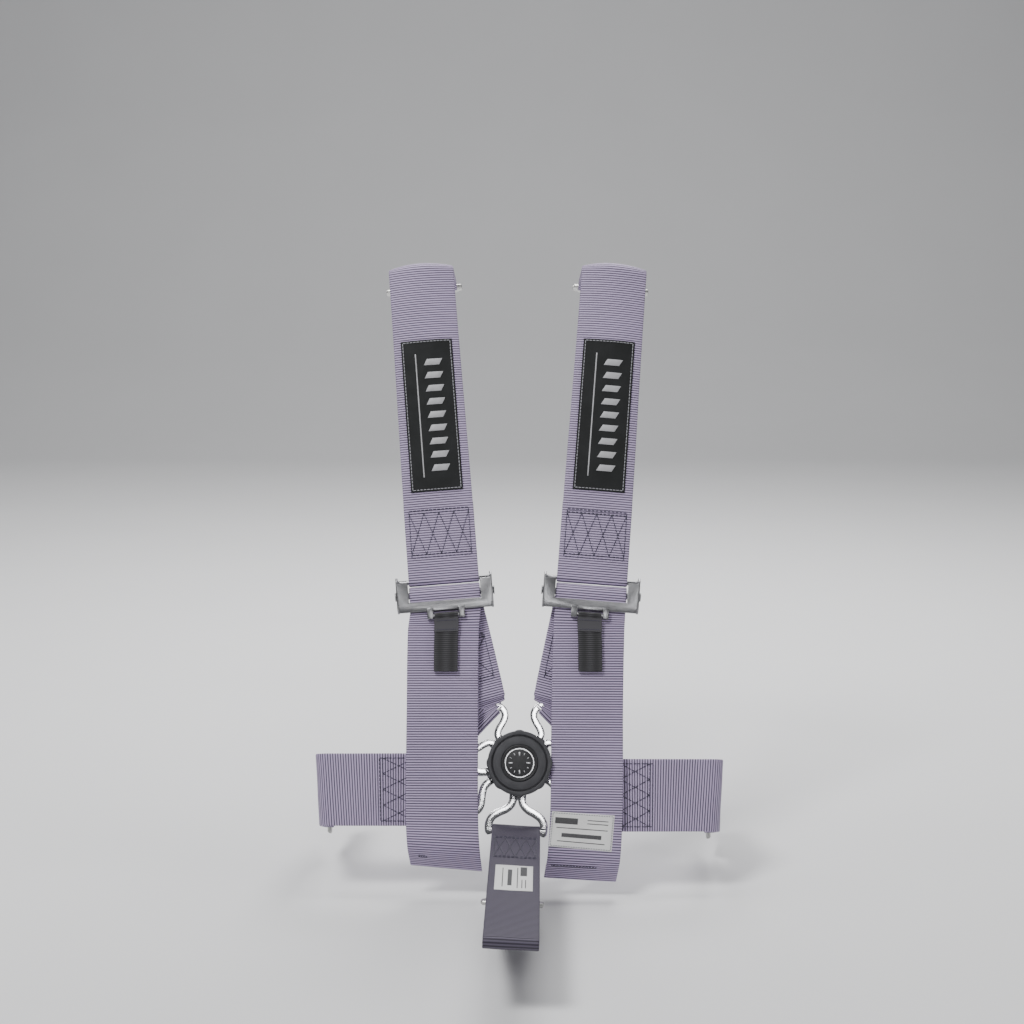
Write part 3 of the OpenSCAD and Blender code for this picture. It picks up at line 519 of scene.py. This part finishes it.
class Belt:
    """A length of webbing laid along stations (place, half of its width as a vector, cup), in metres."""

    def __init__(self, stations, pitch=rib_pitch, thick=webbing_t, rib=rib_height):
        self.pitch, self.thick, self.rib = pitch / 1000, thick / 1000, rib / 1000
        keep = [stations[0]]
        for station in stations[1:]:
            if (station[0] - keep[-1][0]).length > 1e-5:
                keep.append(station)
        spans = [(b[0] - a[0]).length for a, b in zip(keep, keep[1:])]
        slopes = []
        for i in range(len(keep)):
            before = (keep[i][0] - keep[i - 1][0]) / spans[i - 1] if i else None
            after = (keep[i + 1][0] - keep[i][0]) / spans[i] if i < len(spans) else None
            if before is None or after is None:
                slopes.append(before or after)
            else:
                d0, d1 = spans[i - 1], spans[i]
                slopes.append((before * d0 + after * d1) / (d0 + d1))
        fine = []
        for i, span in enumerate(spans):
            parts = max(2, int(span / 0.0005))
            for k in range(parts):
                t = k / parts
                a, b = keep[i], keep[i + 1]
                place = ((2 * t**3 - 3 * t**2 + 1) * a[0] + (t**3 - 2 * t**2 + t) * span * slopes[i]
                         + (-2 * t**3 + 3 * t**2) * b[0] + (t**3 - t**2) * span * slopes[i + 1])
                ease = t * t * (3 - 2 * t)
                fine.append((place, a[1].lerp(b[1], ease), a[2] + (b[2] - a[2]) * ease))
        fine.append(keep[-1])
        lengths = [0.0]
        for a, b in zip(fine, fine[1:]):
            lengths.append(lengths[-1] + (b[0] - a[0]).length)
        self.length = lengths[-1]
        rows = int(self.length / (self.pitch / rows_per_rib))
        self.places, self.halves, self.cups = [], [], []
        k = 0
        for row in range(rows + 1):
            want = self.length * row / rows
            while k < len(fine) - 2 and lengths[k + 1] < want:
                k += 1
            t = (want - lengths[k]) / max(lengths[k + 1] - lengths[k], 1e-9)
            self.places.append(fine[k][0].lerp(fine[k + 1][0], t))
            self.halves.append(fine[k][1].lerp(fine[k + 1][1], t))
            self.cups.append(fine[k][2] + (fine[k + 1][2] - fine[k][2]) * t)
        self.normals = []
        for row in range(rows + 1):
            ahead = self.places[min(row + 1, rows)] - self.places[max(row - 1, 0)]
            self.normals.append(self.halves[row].cross(ahead).normalized())

    def at(self, across, along, lift=0.0):
        """The place that far across the middle of the webbing and along it, lifted off its face, in mm."""
        row = min(max(along / 1000 / self.length * (len(self.places) - 1), 0), len(self.places) - 1.001)
        k, t = int(row), row - int(row)
        place = self.places[k].lerp(self.places[k + 1], t)
        half = self.halves[k].lerp(self.halves[k + 1], t)
        normal = self.normals[k].lerp(self.normals[k + 1], t)
        cup = self.cups[k] + (self.cups[k + 1] - self.cups[k]) * t
        u = across / 1000 / half.length
        return place + half * u + normal * (lift / 1000 - cup * u * u + self.ripple(u, along / 1000))

    def nearest(self, place):
        """How far along the webbing, in mm, its middle comes nearest to a place."""
        row = min(range(len(self.places)), key=lambda k: (self.places[k] - place).length)
        return row * self.length / (len(self.places) - 1) * 1000

    def face(self, along, towards):
        """Which of its two faces looks towards a direction, as 1 or -1."""
        row = int(min(max(along / 1000 / self.length, 0), 1) * (len(self.places) - 1))
        return 1 if self.normals[row].dot(towards) > 0 else -1

    def ripple(self, u, along):
        return noise.noise(Vector((u * 1.3, along * 14, self.length * 40))) * 0.00035 * (1 - u * u * 0.4)

    def lay(self, name, finish, body, node, slot, rests_on):
        """Makes the webbing as one closed mesh with its weave map."""
        verts, maps = [], []
        shape = list(across_steps)
        lines = zip(self.places, self.halves, self.normals, self.cups)
        for row, (place, half, normal, cup) in enumerate(lines):
            along = row * self.length / (len(self.places) - 1)
            rib = self.rib * math.sqrt(0.5 + 0.5 * cos(2 * pi * along / self.pitch))
            for sign in (1, -1):
                for u in shape if sign > 0 else reversed(shape):
                    edge = edge_profile.get(round(abs(u), 3), 1.0)
                    thick = (self.thick / 2 - self.rib + rib) * edge
                    lift = sign * thick - cup * u * u + self.ripple(u, along)
                    verts.append(place + half * u + normal * lift)
                    maps.append((u * half.length * 1000, along * 1000))
        ring = 2 * len(shape)
        faces = []
        for row in range(len(self.places) - 1):
            for k in range(ring):
                j = (k + 1) % ring
                faces.append((row * ring + k, row * ring + j, (row + 1) * ring + j, (row + 1) * ring + k))
        faces.append(tuple(reversed(range(ring))))
        last = (len(self.places) - 1) * ring
        faces.append(tuple(last + k for k in range(ring)))
        mesh = bpy.data.meshes.new(name)
        mesh.from_pydata(verts, [], faces)
        weave = mesh.uv_layers.new(name="weave")
        for loop in mesh.loops:
            weave.data[loop.index].uv = maps[loop.vertex_index]
        piece = bpy.data.objects.new(name, mesh)
        bpy.context.scene.collection.objects.link(piece)
        bpy.context.view_layer.objects.active = piece
        piece.select_set(True)
        bpy.ops.object.mode_set(mode="EDIT")
        bpy.ops.mesh.select_all(action="SELECT")
        bpy.ops.mesh.normals_make_consistent(inside=False)
        bpy.ops.object.mode_set(mode="OBJECT")
        bpy.ops.object.shade_smooth()
        piece.select_set(False)
        mesh.materials.append(finish.material)
        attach(piece, body)
        if node:
            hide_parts(node)
        return piece


# The first colour is painted shade for the rib grooves; the second is the webbing's own lilac on the crowns
lilac = webbing_finish("lilac_webbing", (0.012, 0.009, 0.02, 1), (0.5, 0.41, 0.62, 1), rib_pitch)
# A copy of the lilac webbing with far darker crowns: painted shade for the crotch strap, which lies low in
# shadow
painted_shade_lilac = webbing_finish("crotch_lilac_painted_shade", (0.012, 0.009, 0.02, 1), (0.085, 0.072, 0.11, 1), rib_pitch)
half_w = 38.1
shoulder_loop_w, lap_loop_w = 25.2, 25.4
tongue_ply, anchor_ply = 26, 48
upper_n = 1.8  # the upper belt's middle in front of the slide bar
rod_heights = {}
loop_r = bar_r + loop_gap + webbing_t / 2
belts = {}
for side, s in (("left", -1), ("right", 1)):
    # Upper belt: sewn round the cross bar, up to the fold over the seat and back to its anchor
    axes = adjuster_axes(side)
    back = axes.inverted()
    cross = back @ Vector(joints[f"upper_belt_{side}_swing"]["pos_m"]) * 1000
    rod = back @ Vector(joints[f"anchor_shoulder_{side}_swivel"]["pos_m"]) * 1000
    fold_r = 9
    face = cross.z + loop_r
    top = rod.y + loop_r
    start = side_loop(Vector((cross.y, face)), 180, 1, loop_r, 84)
    end = side_loop(Vector((top, rod.z)), 270, -1, loop_r, anchor_ply)
    view = start[::-1] + side_arc((top - fold_r, face - fold_r), fold_r, 90, 0) + end
    stations = []
    for y, z in view:
        near = max(0.0, 1 - abs(y - top) / 46) if z > -60 else 0.0
        near = near * near * (3 - 2 * near)
        stations.append((axes @ Vector((0, y / 1000, z / 1000)),
                         (axes.to_3x3() @ Vector((1, 0, 0))) * (half_w - 2 * near) / 1000, 0.0055 * near))
    belts[f"upper_{side}"] = Belt(stations)
    belts[f"upper_{side}"].lay(f"upper_webbing_{side}", lilac, f"upper_{side}", f"upper_belt_{side}",
                               "webbing", [f"cross_bar_turning_{side}"])

    # Lower strap and tail: sewn round the tongue's bar, up behind the adjuster, over its slide
    # bar and down in front as the free tail with a turned hem
    turn, reach = bars[f"shoulder_{side}"]
    tongue = belt_axes(turn=turn, n=tongue_n)
    stations = []
    for y, z in side_loop(Vector((reach, loop_r)), 180, 1, loop_r, tongue_ply)[::-1]:
        stations.append((tongue @ Vector((0, y / 1000, z / 1000)),
                         tongue.to_3x3() @ Vector((shoulder_loop_w / 1000, 0, 0)), 0.0))
    lower_n = tongue_n + loop_r
    wrap_r = 5.3
    a = radians(turn)
    bar = Vector((sin(a), cos(a))) * reach
    bar_way = Vector((cos(a), -sin(a))) * shoulder_loop_w
    place = axes @ Vector((0, 0, 0))
    adjuster = Vector((place.x, up_belt.dot(place))) * 1000
    belt_way = axes.to_3x3() @ Vector((1, 0, 0))
    lean = math.atan2(-up_belt.dot(belt_way), belt_way.x)
    belt_way = Vector((cos(lean), -sin(lean))) * half_w
    slope = radians(15) * s
    corner = Vector((s * 15.5, 74))
    box_way = Vector((cos(slope), -sin(slope))) * half_w
    fold_mid = corner + s * box_way
    for mid, half, n, cup in (
            (bar.lerp(fold_mid, 0.42), bar_way.lerp(box_way, 0.45), lower_n - 3.2, 0),
            (bar.lerp(fold_mid, 0.75), bar_way.lerp(box_way, 0.85), lower_n - 1.5, 0.001),
            (fold_mid, box_way, lower_n + 2.6, 0.002),
            (fold_mid.lerp(adjuster, 0.12), box_way, lower_n + 2.4, 0.0015),
            (fold_mid.lerp(adjuster, 0.5), box_way, lower_n + 0.6, 0),
            (fold_mid.lerp(adjuster, 0.8), box_way.lerp(belt_way, 0.5), lower_n, 0),
            (fold_mid.lerp(adjuster, 0.9), box_way.lerp(belt_way, 0.9), lower_n, 0)):
        stations.append((on_belt(mid.x, mid.y, n), (right * half.x + up_belt * half.y) / 1000, cup))
    cross_way = axes.to_3x3() @ Vector((half_w / 1000, 0, 0))
    over_bar = [(-1, -wrap_r), (4, -5.1), (7, -4), (8.5, -2), (8, 0.3), (6.2, 2.7), (3.4, 4.7), (0, wrap_r)]
    for y, z in over_bar + [(-10, wrap_r), (-16, wrap_r)]:
        stations.append((axes @ Vector((0, y / 1000, z / 1000)), cross_way, 0.0))
    tail_n = lower_n + 2 * wrap_r
    if side == "left":
        hang = [(-81.6, 140, 0), (-81.9, 60, 0), (-81.9, -20, 0), (-81.4, -62, 1), (-79.8, -88, 3)]
        foot, turn_in = Vector((-77.5, -107)), 5
    else:
        hang = [(74.6, 140, 0), (72.2, 60, 0.3), (71.2, -20, 0.8), (70, -60, 1.6), (67.3, -98, 2.8)]
        foot, turn_in = Vector((64, -119)), 3.4
    for x, v, lean_deg in hang:
        heading = radians(lean_deg)
        stations.append((on_belt(x, v, tail_n),
                         (right * cos(heading) - up_belt * sin(heading)) * half_w / 1000, 0.0))
    drop = hang[-1][1] - foot.y
    heading = radians(turn_in)
    way = (right * cos(heading) - up_belt * sin(heading)) * half_w / 1000
    down = (foot - Vector(hang[-1][:2])).normalized()
    kick = 0.85
    stations.append((on_belt(foot.x, foot.y, tail_n - drop * kick), way, 0.0))
    for ahead, lower in ((0.9, 0.5), (1.25, 1.4), (0.7, 2.3), (-1.0, 2.75), (-6, 2.5), (-12, 2.3)):
        spot = foot + down * ahead
        stations.append((on_belt(spot.x, spot.y, tail_n - (drop + ahead) * kick - lower), way, 0.0))
    belts[f"tail_{side}"] = Belt(stations)
    belts[f"tail_{side}"].lay(f"shoulder_webbing_{side}", lilac, f"shoulder_{side}", f"shoulder_strap_{side}",
                                 "webbing", [f"slide_bar_turning_{side}"])

    # Lap belt: sewn round the tongue's bar, out to the hip, round it and back to its anchor
    turn, reach = bars[f"lap_{side}"]
    tongue = belt_axes(turn=turn, n=tongue_n)
    rod = Vector(joints[f"anchor_lap_{side}_swivel"]["pos_m"])
    rod_v = up_belt.dot(rod) * 1000
    rod_n = front.dot(rod) * 1000
    rod_heights[side] = rod_v
    lap_x = abs(rod.x) * 1000 + loop_r
    stations = []
    for y, z in side_loop(Vector((reach, loop_r)), 180, 1, loop_r, tongue_ply)[::-1]:
        stations.append((tongue @ Vector((0, y / 1000, z / 1000)),
                         tongue.to_3x3() @ Vector((lap_loop_w / 1000, 0, 0)), 0.0))
    bar = Vector((sin(radians(turn)), cos(radians(turn)))) * reach
    level = Vector((s * 106, rod_v))
    for k in range(1, 9):
        t = k / 8
        heading = radians(turn) + (radians(90 * s) - radians(turn)) * t
        m0, m1 = Vector((sin(radians(turn)), cos(radians(turn)))) * 46, Vector((s, 0)) * 46
        spot = ((2 * t**3 - 3 * t**2 + 1) * bar + (t**3 - 2 * t**2 + t) * m0
                + (-2 * t**3 + 3 * t**2) * level + (t**3 - t**2) * m1)
        ease = t * t * (3 - 2 * t)
        wide = lap_loop_w + (half_w - lap_loop_w) * ease
        stations.append((on_belt(spot.x, spot.y, lower_n),
                         (right * cos(heading) - up_belt * sin(heading)) * wide / 1000, 0.003 * sin(pi * t)))
    fold = 16
    hip = side_arc((lap_x - fold, lower_n - fold), fold, 90, 0)
    for x, n in hip + side_loop(Vector((lap_x, rod_n)), 270, -1, loop_r, anchor_ply):
        near = max(0.0, 1 - abs(n - lower_n + 4) / 60)
        heading = radians((90 + 5 * near) * s)
        stations.append((on_belt(s * x, rod_v, n),
                         (right * cos(heading) - up_belt * sin(heading)) * half_w / 1000, 0.0))
    belts[f"lap_{side}"] = Belt(stations)
    belts[f"lap_{side}"].lay(f"lap_webbing_{side}", lilac, "buckle" if side == "left" else "lap_right",
                             f"lap_belt_{side}", "webbing", [f"tongue_forging_lap_{side}"])

# Crotch strap: sewn round its tongue's bar, forward along the seat, through the slot and back
rod = Vector(joints["anchor_crotch_swivel"]["pos_m"])
bar_way = Vector(joints["anchor_crotch_swivel"]["axis"])
pull = Vector(joints["tongue_crotch_pull"]["axis"])
bar = pull * (long_reach / 1000) + front * (tongue_n / 1000)
sit_up = (Vector((0, 0, 1)) - bar_way * bar_way.z).normalized()
sit_back = sit_up.cross(bar_way)
if sit_back.y < 0:
    sit_back = -sit_back
rod_side = Vector((sit_back.dot(rod - bar), sit_up.dot(rod - bar))) * 1000
fold_r, drop_deg, run = 5, 11, 298
end = rod_side - loop_r * Vector((cos(radians(90 - drop_deg)), sin(radians(90 - drop_deg))))
view = (side_loop(Vector((0, loop_r)), 0, -1, loop_r, 105)[::-1]
        + side_arc((-run, loop_r - fold_r), fold_r, 90, 270 - drop_deg, 12)
        + side_loop(end, -drop_deg, 1, loop_r, anchor_ply))
stations = [(bar + (sit_back * y + sit_up * z) / 1000, bar_way * (lap_loop_w / 1000), 0.0) for y, z in view]
belts["crotch"] = Belt(stations)
# The crotch strap wears the darker lilac copy, which is painted shade
belts["crotch"].lay("crotch_webbing", painted_shade_lilac, "crotch", "crotch_strap", "webbing",
                    ["tongue_forging_crotch"])


# ---- Stitching ----
# Bonded polyester thread, sewn through both plies by machine: a box with crossing zigzags at each
# belt end, and rows along the hems. Each stitch is a short rounded stroke that dips at its ends.

navy_thread = Finish("navy_thread", {"Metallic": 0.0, "Roughness": 0.55, "Sheen Weight": 0.2})
navy_thread.join(navy_thread.shader, {
    "Base Color": navy_thread.tint((0.018, 0.016, 0.032, 1), (0.05, 0.045, 0.08, 1), navy_thread.noise(900))})
grey_thread = Finish("grey_thread", {"Metallic": 0.0, "Roughness": 0.6, "Sheen Weight": 0.2})
grey_thread.join(grey_thread.shader, {
    "Base Color": grey_thread.tint((0.22, 0.22, 0.24, 1), (0.4, 0.4, 0.43, 1), grey_thread.noise(900))})
stitch_sides = 6
stitch_profile = ((0.0, 0.16, -0.1), (0.2, 0.46, 0.22), (0.8, 0.46, 0.22), (1.0, 0.16, -0.1))


def new_mesh(name, verts, faces, finish, body):
    """Makes a mesh that is already in its place, and finishes it."""
    mesh = bpy.data.meshes.new(name)
    mesh.from_pydata(verts, [], faces)
    piece = bpy.data.objects.new(name, mesh)
    bpy.context.scene.collection.objects.link(piece)
    bpy.context.view_layer.objects.active = piece
    piece.select_set(True)
    bpy.ops.object.mode_set(mode="EDIT")
    bpy.ops.mesh.select_all(action="SELECT")
    bpy.ops.mesh.normals_make_consistent(inside=False)
    settle(piece, Matrix.Identity(4), finish, body)
    return piece


def sew(name, belt, lines, towards, finish, body, lift=0.0, step=4.2):
    """Rows of stitches on a belt. A line is a row of places across and along it, in mm."""
    verts, faces = [], []
    for line in lines:
        for start, end in zip(line, line[1:]):
            start, end = Vector(start), Vector(end)
            count = max(1, round((end - start).length / step))
            for k in range(count):
                a, b = start.lerp(end, (k + 0.06) / count), start.lerp(end, (k + 0.94) / count)
                height = belt.face(a.y, towards) * (belt.thick * 500 + lift)
                head, foot_end = belt.at(a.x, a.y, height), belt.at(b.x, b.y, height)
                aside = (foot_end - head).cross(towards).normalized()
                first = len(verts)
                for t, radius, rise in stitch_profile:
                    for side_no in range(stitch_sides):
                        angle = 2 * pi * side_no / stitch_sides
                        off = aside * cos(angle) * radius + towards * (sin(angle) * radius + rise)
                        verts.append(head.lerp(foot_end, t) + off / 1000)
                for ring_no in range(len(stitch_profile) - 1):
                    base = first + ring_no * stitch_sides
                    for side_no in range(stitch_sides):
                        other = (side_no + 1) % stitch_sides
                        faces.append((base + side_no, base + other, base + stitch_sides + other,
                                      base + stitch_sides + side_no))
                last = first + (len(stitch_profile) - 1) * stitch_sides
                faces.append(tuple(first + k for k in reversed(range(stitch_sides))))
                faces.append(tuple(last + k for k in range(stitch_sides)))
    return new_mesh(name, verts, faces, finish, body)


double_row = 3.2


def zigzag(half, low, high, peaks):
    """Two crossing zigzags between two heights, which make a row of diamonds."""
    across = [-half + 2 * half * k / (2 * peaks) for k in range(2 * peaks + 1)]
    return [[(x, low if (k + phase) % 2 else high) for k, x in enumerate(across)] for phase in (0, 1)]


def box(half, low, high, peaks):
    """A box of stitches with a double row at both ends and crosses between them."""
    low, high = min(low, high), max(low, high)
    return zigzag(half, low + double_row, high - double_row, peaks) + [
        [(-half, low), (half, low), (half, high), (-half, high), (-half, low)],
        [(-half, low + double_row), (half, low + double_row)],
        [(-half, high - double_row), (half, high - double_row)]]


for side, s in (("left", -1), ("right", 1)):
    axes = adjuster_axes(side)
    upper = belts[f"upper_{side}"]
    low, high = (upper.nearest(axes @ Vector((0, y / 1000, upper_n / 1000)))
                 for y in ((41, 93) if s < 0 else (38, 91)))
    sew(f"upper_stitching_{side}", upper, box(32.5, low, high, 2), front, navy_thread,
        f"upper_{side}")
    tail = belts[f"tail_{side}"]
    low, high = (tail.nearest(on_belt(s * (53.5 + (v - 80) * 0.268), v, lower_n + 1)) for v in (84, 132))
    sew(f"lower_stitching_{side}", tail, box(31, low, high, 1), front, navy_thread,
        f"shoulder_{side}")
    hem = tail.nearest(on_belt(-79 if s < 0 else 66, -100 if s < 0 else -111, lower_n + 9))
    rows = ([[(-28, hem), (-20, hem)], [(-28, hem + 2), (-18, hem + 2)]] if s < 0 else
            [[(-33 + 1.7 * k, hem + (1.6 if k % 2 else -1.6)) for k in range(29)]])
    sew(f"hem_stitching_{side}", tail, rows, front, navy_thread, f"shoulder_{side}", step=2.6)
    lap = belts[f"lap_{side}"]
    low, high = (lap.nearest(on_belt(s * x, rod_heights[side], lower_n))
                 for x in ((108, 148) if s < 0 else (104, 141)))
    sew(f"lap_stitching_{side}", lap, box(33, low, high, 2), front, navy_thread,
        "buckle" if s < 0 else "lap_right")
crotch = belts["crotch"]
low, high = (crotch.nearest(bar + (sit_up * loop_r - sit_back * y) / 1000) for y in (38, 98))
sew("crotch_stitching", crotch, box(21.5, low, high, 2), sit_up, navy_thread, "crotch")


# ---- Patches and tags ----
# A moulded rubber patch sewn on each upper belt, with plain raised bars, and two woven tags with a
# few printed lines. All of them follow the belt that they are sewn to.

patch_rubber = Finish("patch_rubber", {"Metallic": 0.0, "Specular IOR Level": 0.2})
patch_rubber.join(patch_rubber.shader, {
    "Base Color": patch_rubber.tint((0.008, 0.009, 0.009, 1), (0.022, 0.023, 0.024, 1),
                                    patch_rubber.noise(60)),
    "Roughness": patch_rubber.noise(500) * 0.2 + 0.6})
patch_rubber.bump(patch_rubber.noise(1500), 0.0001)
patch_print = Finish("patch_bars", {"Metallic": 0.0})
patch_print.join(patch_print.shader, {
    "Base Color": patch_print.tint((0.3, 0.3, 0.31, 1), (0.46, 0.46, 0.48, 1), patch_print.noise(120)),
    "Roughness": patch_print.noise(500) * 0.2 + 0.4})
tag_cloth = Finish("tag_cloth", {"Metallic": 0.0, "Sheen Weight": 0.2})
tag_threads = tag_cloth.noise(1400, 2) * 0.6 + tag_cloth.noise(40) * 0.4
tag_cloth.join(tag_cloth.shader, {
    "Base Color": tag_cloth.tint((0.6, 0.6, 0.59, 1), (0.86, 0.86, 0.85, 1), tag_threads),
    "Roughness": tag_threads * 0.2 + 0.55})
tag_cloth.bump(tag_threads, 0.00008)
tag_ink = Finish("tag_ink", {"Metallic": 0.0})
tag_ink.join(tag_ink.shader, {
    "Base Color": tag_ink.tint((0.03, 0.03, 0.032, 1), (0.09, 0.09, 0.095, 1), tag_ink.noise(700)),
    "Roughness": tag_ink.noise(500) * 0.2 + 0.5})


def lay_on(name, belt, middle, plates, thick, towards, finish, body, lift=0.0, tilt=0.0, slant=0.0):
    """Thin flat plates that follow a belt. A plate is its centre and its size across and along, in mm."""
    verts, faces = [], []
    for x, y, wide, long in plates:
        columns, rows = max(1, round(wide / 5)), max(1, round(long / 5))
        first = len(verts)
        for level, inset in ((0.0, 0.0), (thick * 0.6, 0.0), (thick, 0.25)):
            for row in range(rows + 1):
                for column in range(columns + 1):
                    ahead = (row / rows - 0.5) * (long - 2 * inset)
                    over = x + (column / columns - 0.5) * (wide - 2 * inset) + slant * ahead
                    ahead += y
                    turned = (middle[0] + over * cos(radians(tilt)) - ahead * sin(radians(tilt)),
                              middle[1] + over * sin(radians(tilt)) + ahead * cos(radians(tilt)))
                    height = belt.face(turned[1], towards) * (belt.thick * 500 + lift + level)
                    verts.append(belt.at(turned[0], turned[1], height))
        layer = (rows + 1) * (columns + 1)

        def spot(level, row, column):
            return first + level * layer + row * (columns + 1) + column
        for row in range(rows):
            for column in range(columns):
                faces.append(tuple(spot(0, row + i, column + j) for i, j in ((0, 0), (1, 0), (1, 1), (0, 1))))
                faces.append(tuple(spot(2, row + i, column + j) for i, j in ((0, 0), (0, 1), (1, 1), (1, 0))))
        rim = ([(0, c) for c in range(columns)] + [(r, columns) for r in range(rows)]
               + [(rows, c) for c in range(columns, 0, -1)] + [(r, 0) for r in range(rows, 0, -1)])
        for level in (0, 1):
            for here, there in zip(rim, rim[1:] + rim[:1]):
                faces.append((spot(level, *here), spot(level, *there), spot(level + 1, *there),
                              spot(level + 1, *here)))
    return new_mesh(name, verts, faces, finish, body)


patch_w, patch_l, patch_t, patch_y = 57, 172, 1.2, 199
bars_t, sunk, patch_seam = 0.35, 0.05, 2.2
tag_l, tag_h, tag_t, tag_tilt, ink_t, tag_seam = 66, 37, 0.5, 2.5, 0.08, 1.3
for side, s in (("left", -1), ("right", 1)):
    belt, body = belts[f"upper_{side}"], f"upper_{side}"
    middle = (0, belt.nearest(adjuster_axes(side) @ Vector((0, patch_y / 1000, upper_n / 1000))))
    patch = lay_on(f"patch_rubber_{side}", belt, middle, [(0, 0, patch_w, patch_l)], patch_t, front,
                   patch_rubber, body)
    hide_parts(f"patch_{side}")
    bars_here = [(6, -60 + 15 * k, 17, 7) for k in range(9)]
    lay_on(f"patch_bars_{side}", belt, middle, bars_here, bars_t, front, patch_print, body,
           lift=patch_t - sunk, slant=0.55)
    lay_on(f"patch_line_{side}", belt, middle, [(-13, 0, 1.3, 140)], bars_t, front, patch_print, body,
           lift=patch_t - sunk)
    x, y = patch_w / 2 - patch_seam, patch_l / 2 - patch_seam
    corners = [(-x, -y), (x, -y), (x, y), (-x, y), (-x, -y)]
    sew(f"patch_stitching_{side}", belt, [[(a, b + middle[1]) for a, b in corners]], front, grey_thread, body,
        lift=patch_t, step=3.8)

tail = belts["tail_right"]
middle = (-4.0, tail.nearest(on_belt(71, -71, lower_n + 10.6)))
tag = lay_on("tag_cloth_shoulder", tail, middle, [(0, 0, tag_l, tag_h)], tag_t, front, tag_cloth,
             "shoulder_right", tilt=tag_tilt)
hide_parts("tag_shoulder")
lay_on("tag_lines_shoulder", tail, middle, [(0, 5.5, 42, 4.2), (0, -2, 54, 0.9), (16, -8, 22, 0.9),
                                            (16, -11.5, 22, 0.9), (-17, -9.5, 24, 6.5), (0, 12, 50, 0.9)],
       ink_t, front, tag_ink, "shoulder_right", lift=tag_t, tilt=tag_tilt)
x, y, turned = tag_l / 2 - tag_seam, tag_h / 2 - tag_seam, radians(tag_tilt)
tag_edge = [(middle[0] + a * cos(turned) - b * sin(turned), middle[1] + a * sin(turned) + b * cos(turned))
               for a, b in ((-x, -y), (x, -y), (x, y), (-x, y), (-x, -y))]
sew("tag_stitching_shoulder", tail, [tag_edge], front, grey_thread, "shoulder_right",
    lift=tag_t - 0.1, step=2.6)
middle = (0, crotch.nearest(bar + (sit_up * loop_r - sit_back * 154) / 1000))
tag = lay_on("tag_cloth_crotch", crotch, middle, [(0, 0, tag_h, tag_l)], tag_t, sit_up, tag_cloth, "crotch")
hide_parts("tag_crotch")
lay_on("tag_lines_crotch", crotch, middle, [(-4, 0, 4.2, 42), (3.5, 0, 0.9, 54), (8, 16, 0.9, 22),
                                            (11.5, 16, 0.9, 22), (9.5, -17, 6.5, 24), (-11, 0, 0.9, 50)],
       ink_t, sit_up, tag_ink, "crotch", lift=tag_t)


# ---- Pull tabs ----
# Black 1 inch webbing looped round the pin between an adjuster's horns and sewn shut under a
# thicker band. It hangs straight down in front of the tail.

tab_w, tab_t, tab_run, tab_r, tab_pitch, tab_rib = 25.4, 1.4, 61, 2.3, 2.1, 0.18
# Black webbing: painted shade in its rib grooves, and painted sheen in lighter bands across it
black_webbing = webbing_finish("black_webbing", (0.004, 0.004, 0.005, 1), (0.05, 0.048, 0.055, 1),
                               tab_pitch, 1.2, 0.75)
for side in ("left", "right"):
    axes = adjuster_axes(side)
    pin = Vector(joints[f"pull_tab_{side}_lift"]["pos_m"])
    tilted = axes.to_3x3() @ Vector((tab_w / 2000, 0, 0))
    level = right * tab_w / 2000
    ply = (tab_t + ply_gap) / 2
    stations = []
    for y, z, lean_back in ([(-tab_run, -ply, 1), (-30, -ply, 1), (-9.5, -ply, 0.4)]
                            + [(*spot, 0) for spot in side_arc((0, 0), tab_r, -120, 120, 14)]
                            + [(-9.5, ply, 0.4), (-30, ply, 1), (-tab_run, ply, 1)]):
        down_tab = axes.to_3x3() @ Vector((0, 1, 0)) * (1 - lean_back) + up_belt * lean_back
        stations.append((pin + (down_tab * y + front * z) / 1000, tilted.lerp(level, lean_back), 0.0))
    tab = Belt(stations, tab_pitch, tab_t, tab_rib)
    tab.lay(f"pull_webbing_{side}", black_webbing, f"tab_{side}", f"pull_tab_{side}", "tab_webbing",
            [f"tab_pin_{side}"])
    band = (0, tab.nearest(pin + (up_belt * -11 + front * ply) / 1000))
    lay_on(f"pull_band_{side}", tab, band, [(0, 0, tab_w + 0.8, 15)], 0.9, front, black_webbing,
           f"tab_{side}")
    sew(f"pull_stitching_{side}", tab, [[(-11, band[1] + dy), (11, band[1] + dy)] for dy in (-5, 5)], front,
        navy_thread, f"tab_{side}", lift=0.85, step=2.4)


# ---- Anchors ----
# Bolt-in end plates stamped from 3 mm steel and zinc plated, one sewn into each belt end.

zinc = Finish("zinc_plate", {"Metallic": 1.0})
zinc.join(zinc.shader, {
    "Base Color": zinc.tint((0.4, 0.4, 0.39, 1), (0.62, 0.62, 0.6, 1), zinc.noise(80)),
    "Roughness": zinc.noise(260) * 0.3 + 0.22})
zinc.bump(zinc.noise(1200, 2), 0.00004)
for place in ("shoulder_left", "shoulder_right", "lap_left", "lap_right", "crotch"):
    eased(f"anchor_{place}", f"anchor_plate_{place}", 0.0005, 2, zinc)
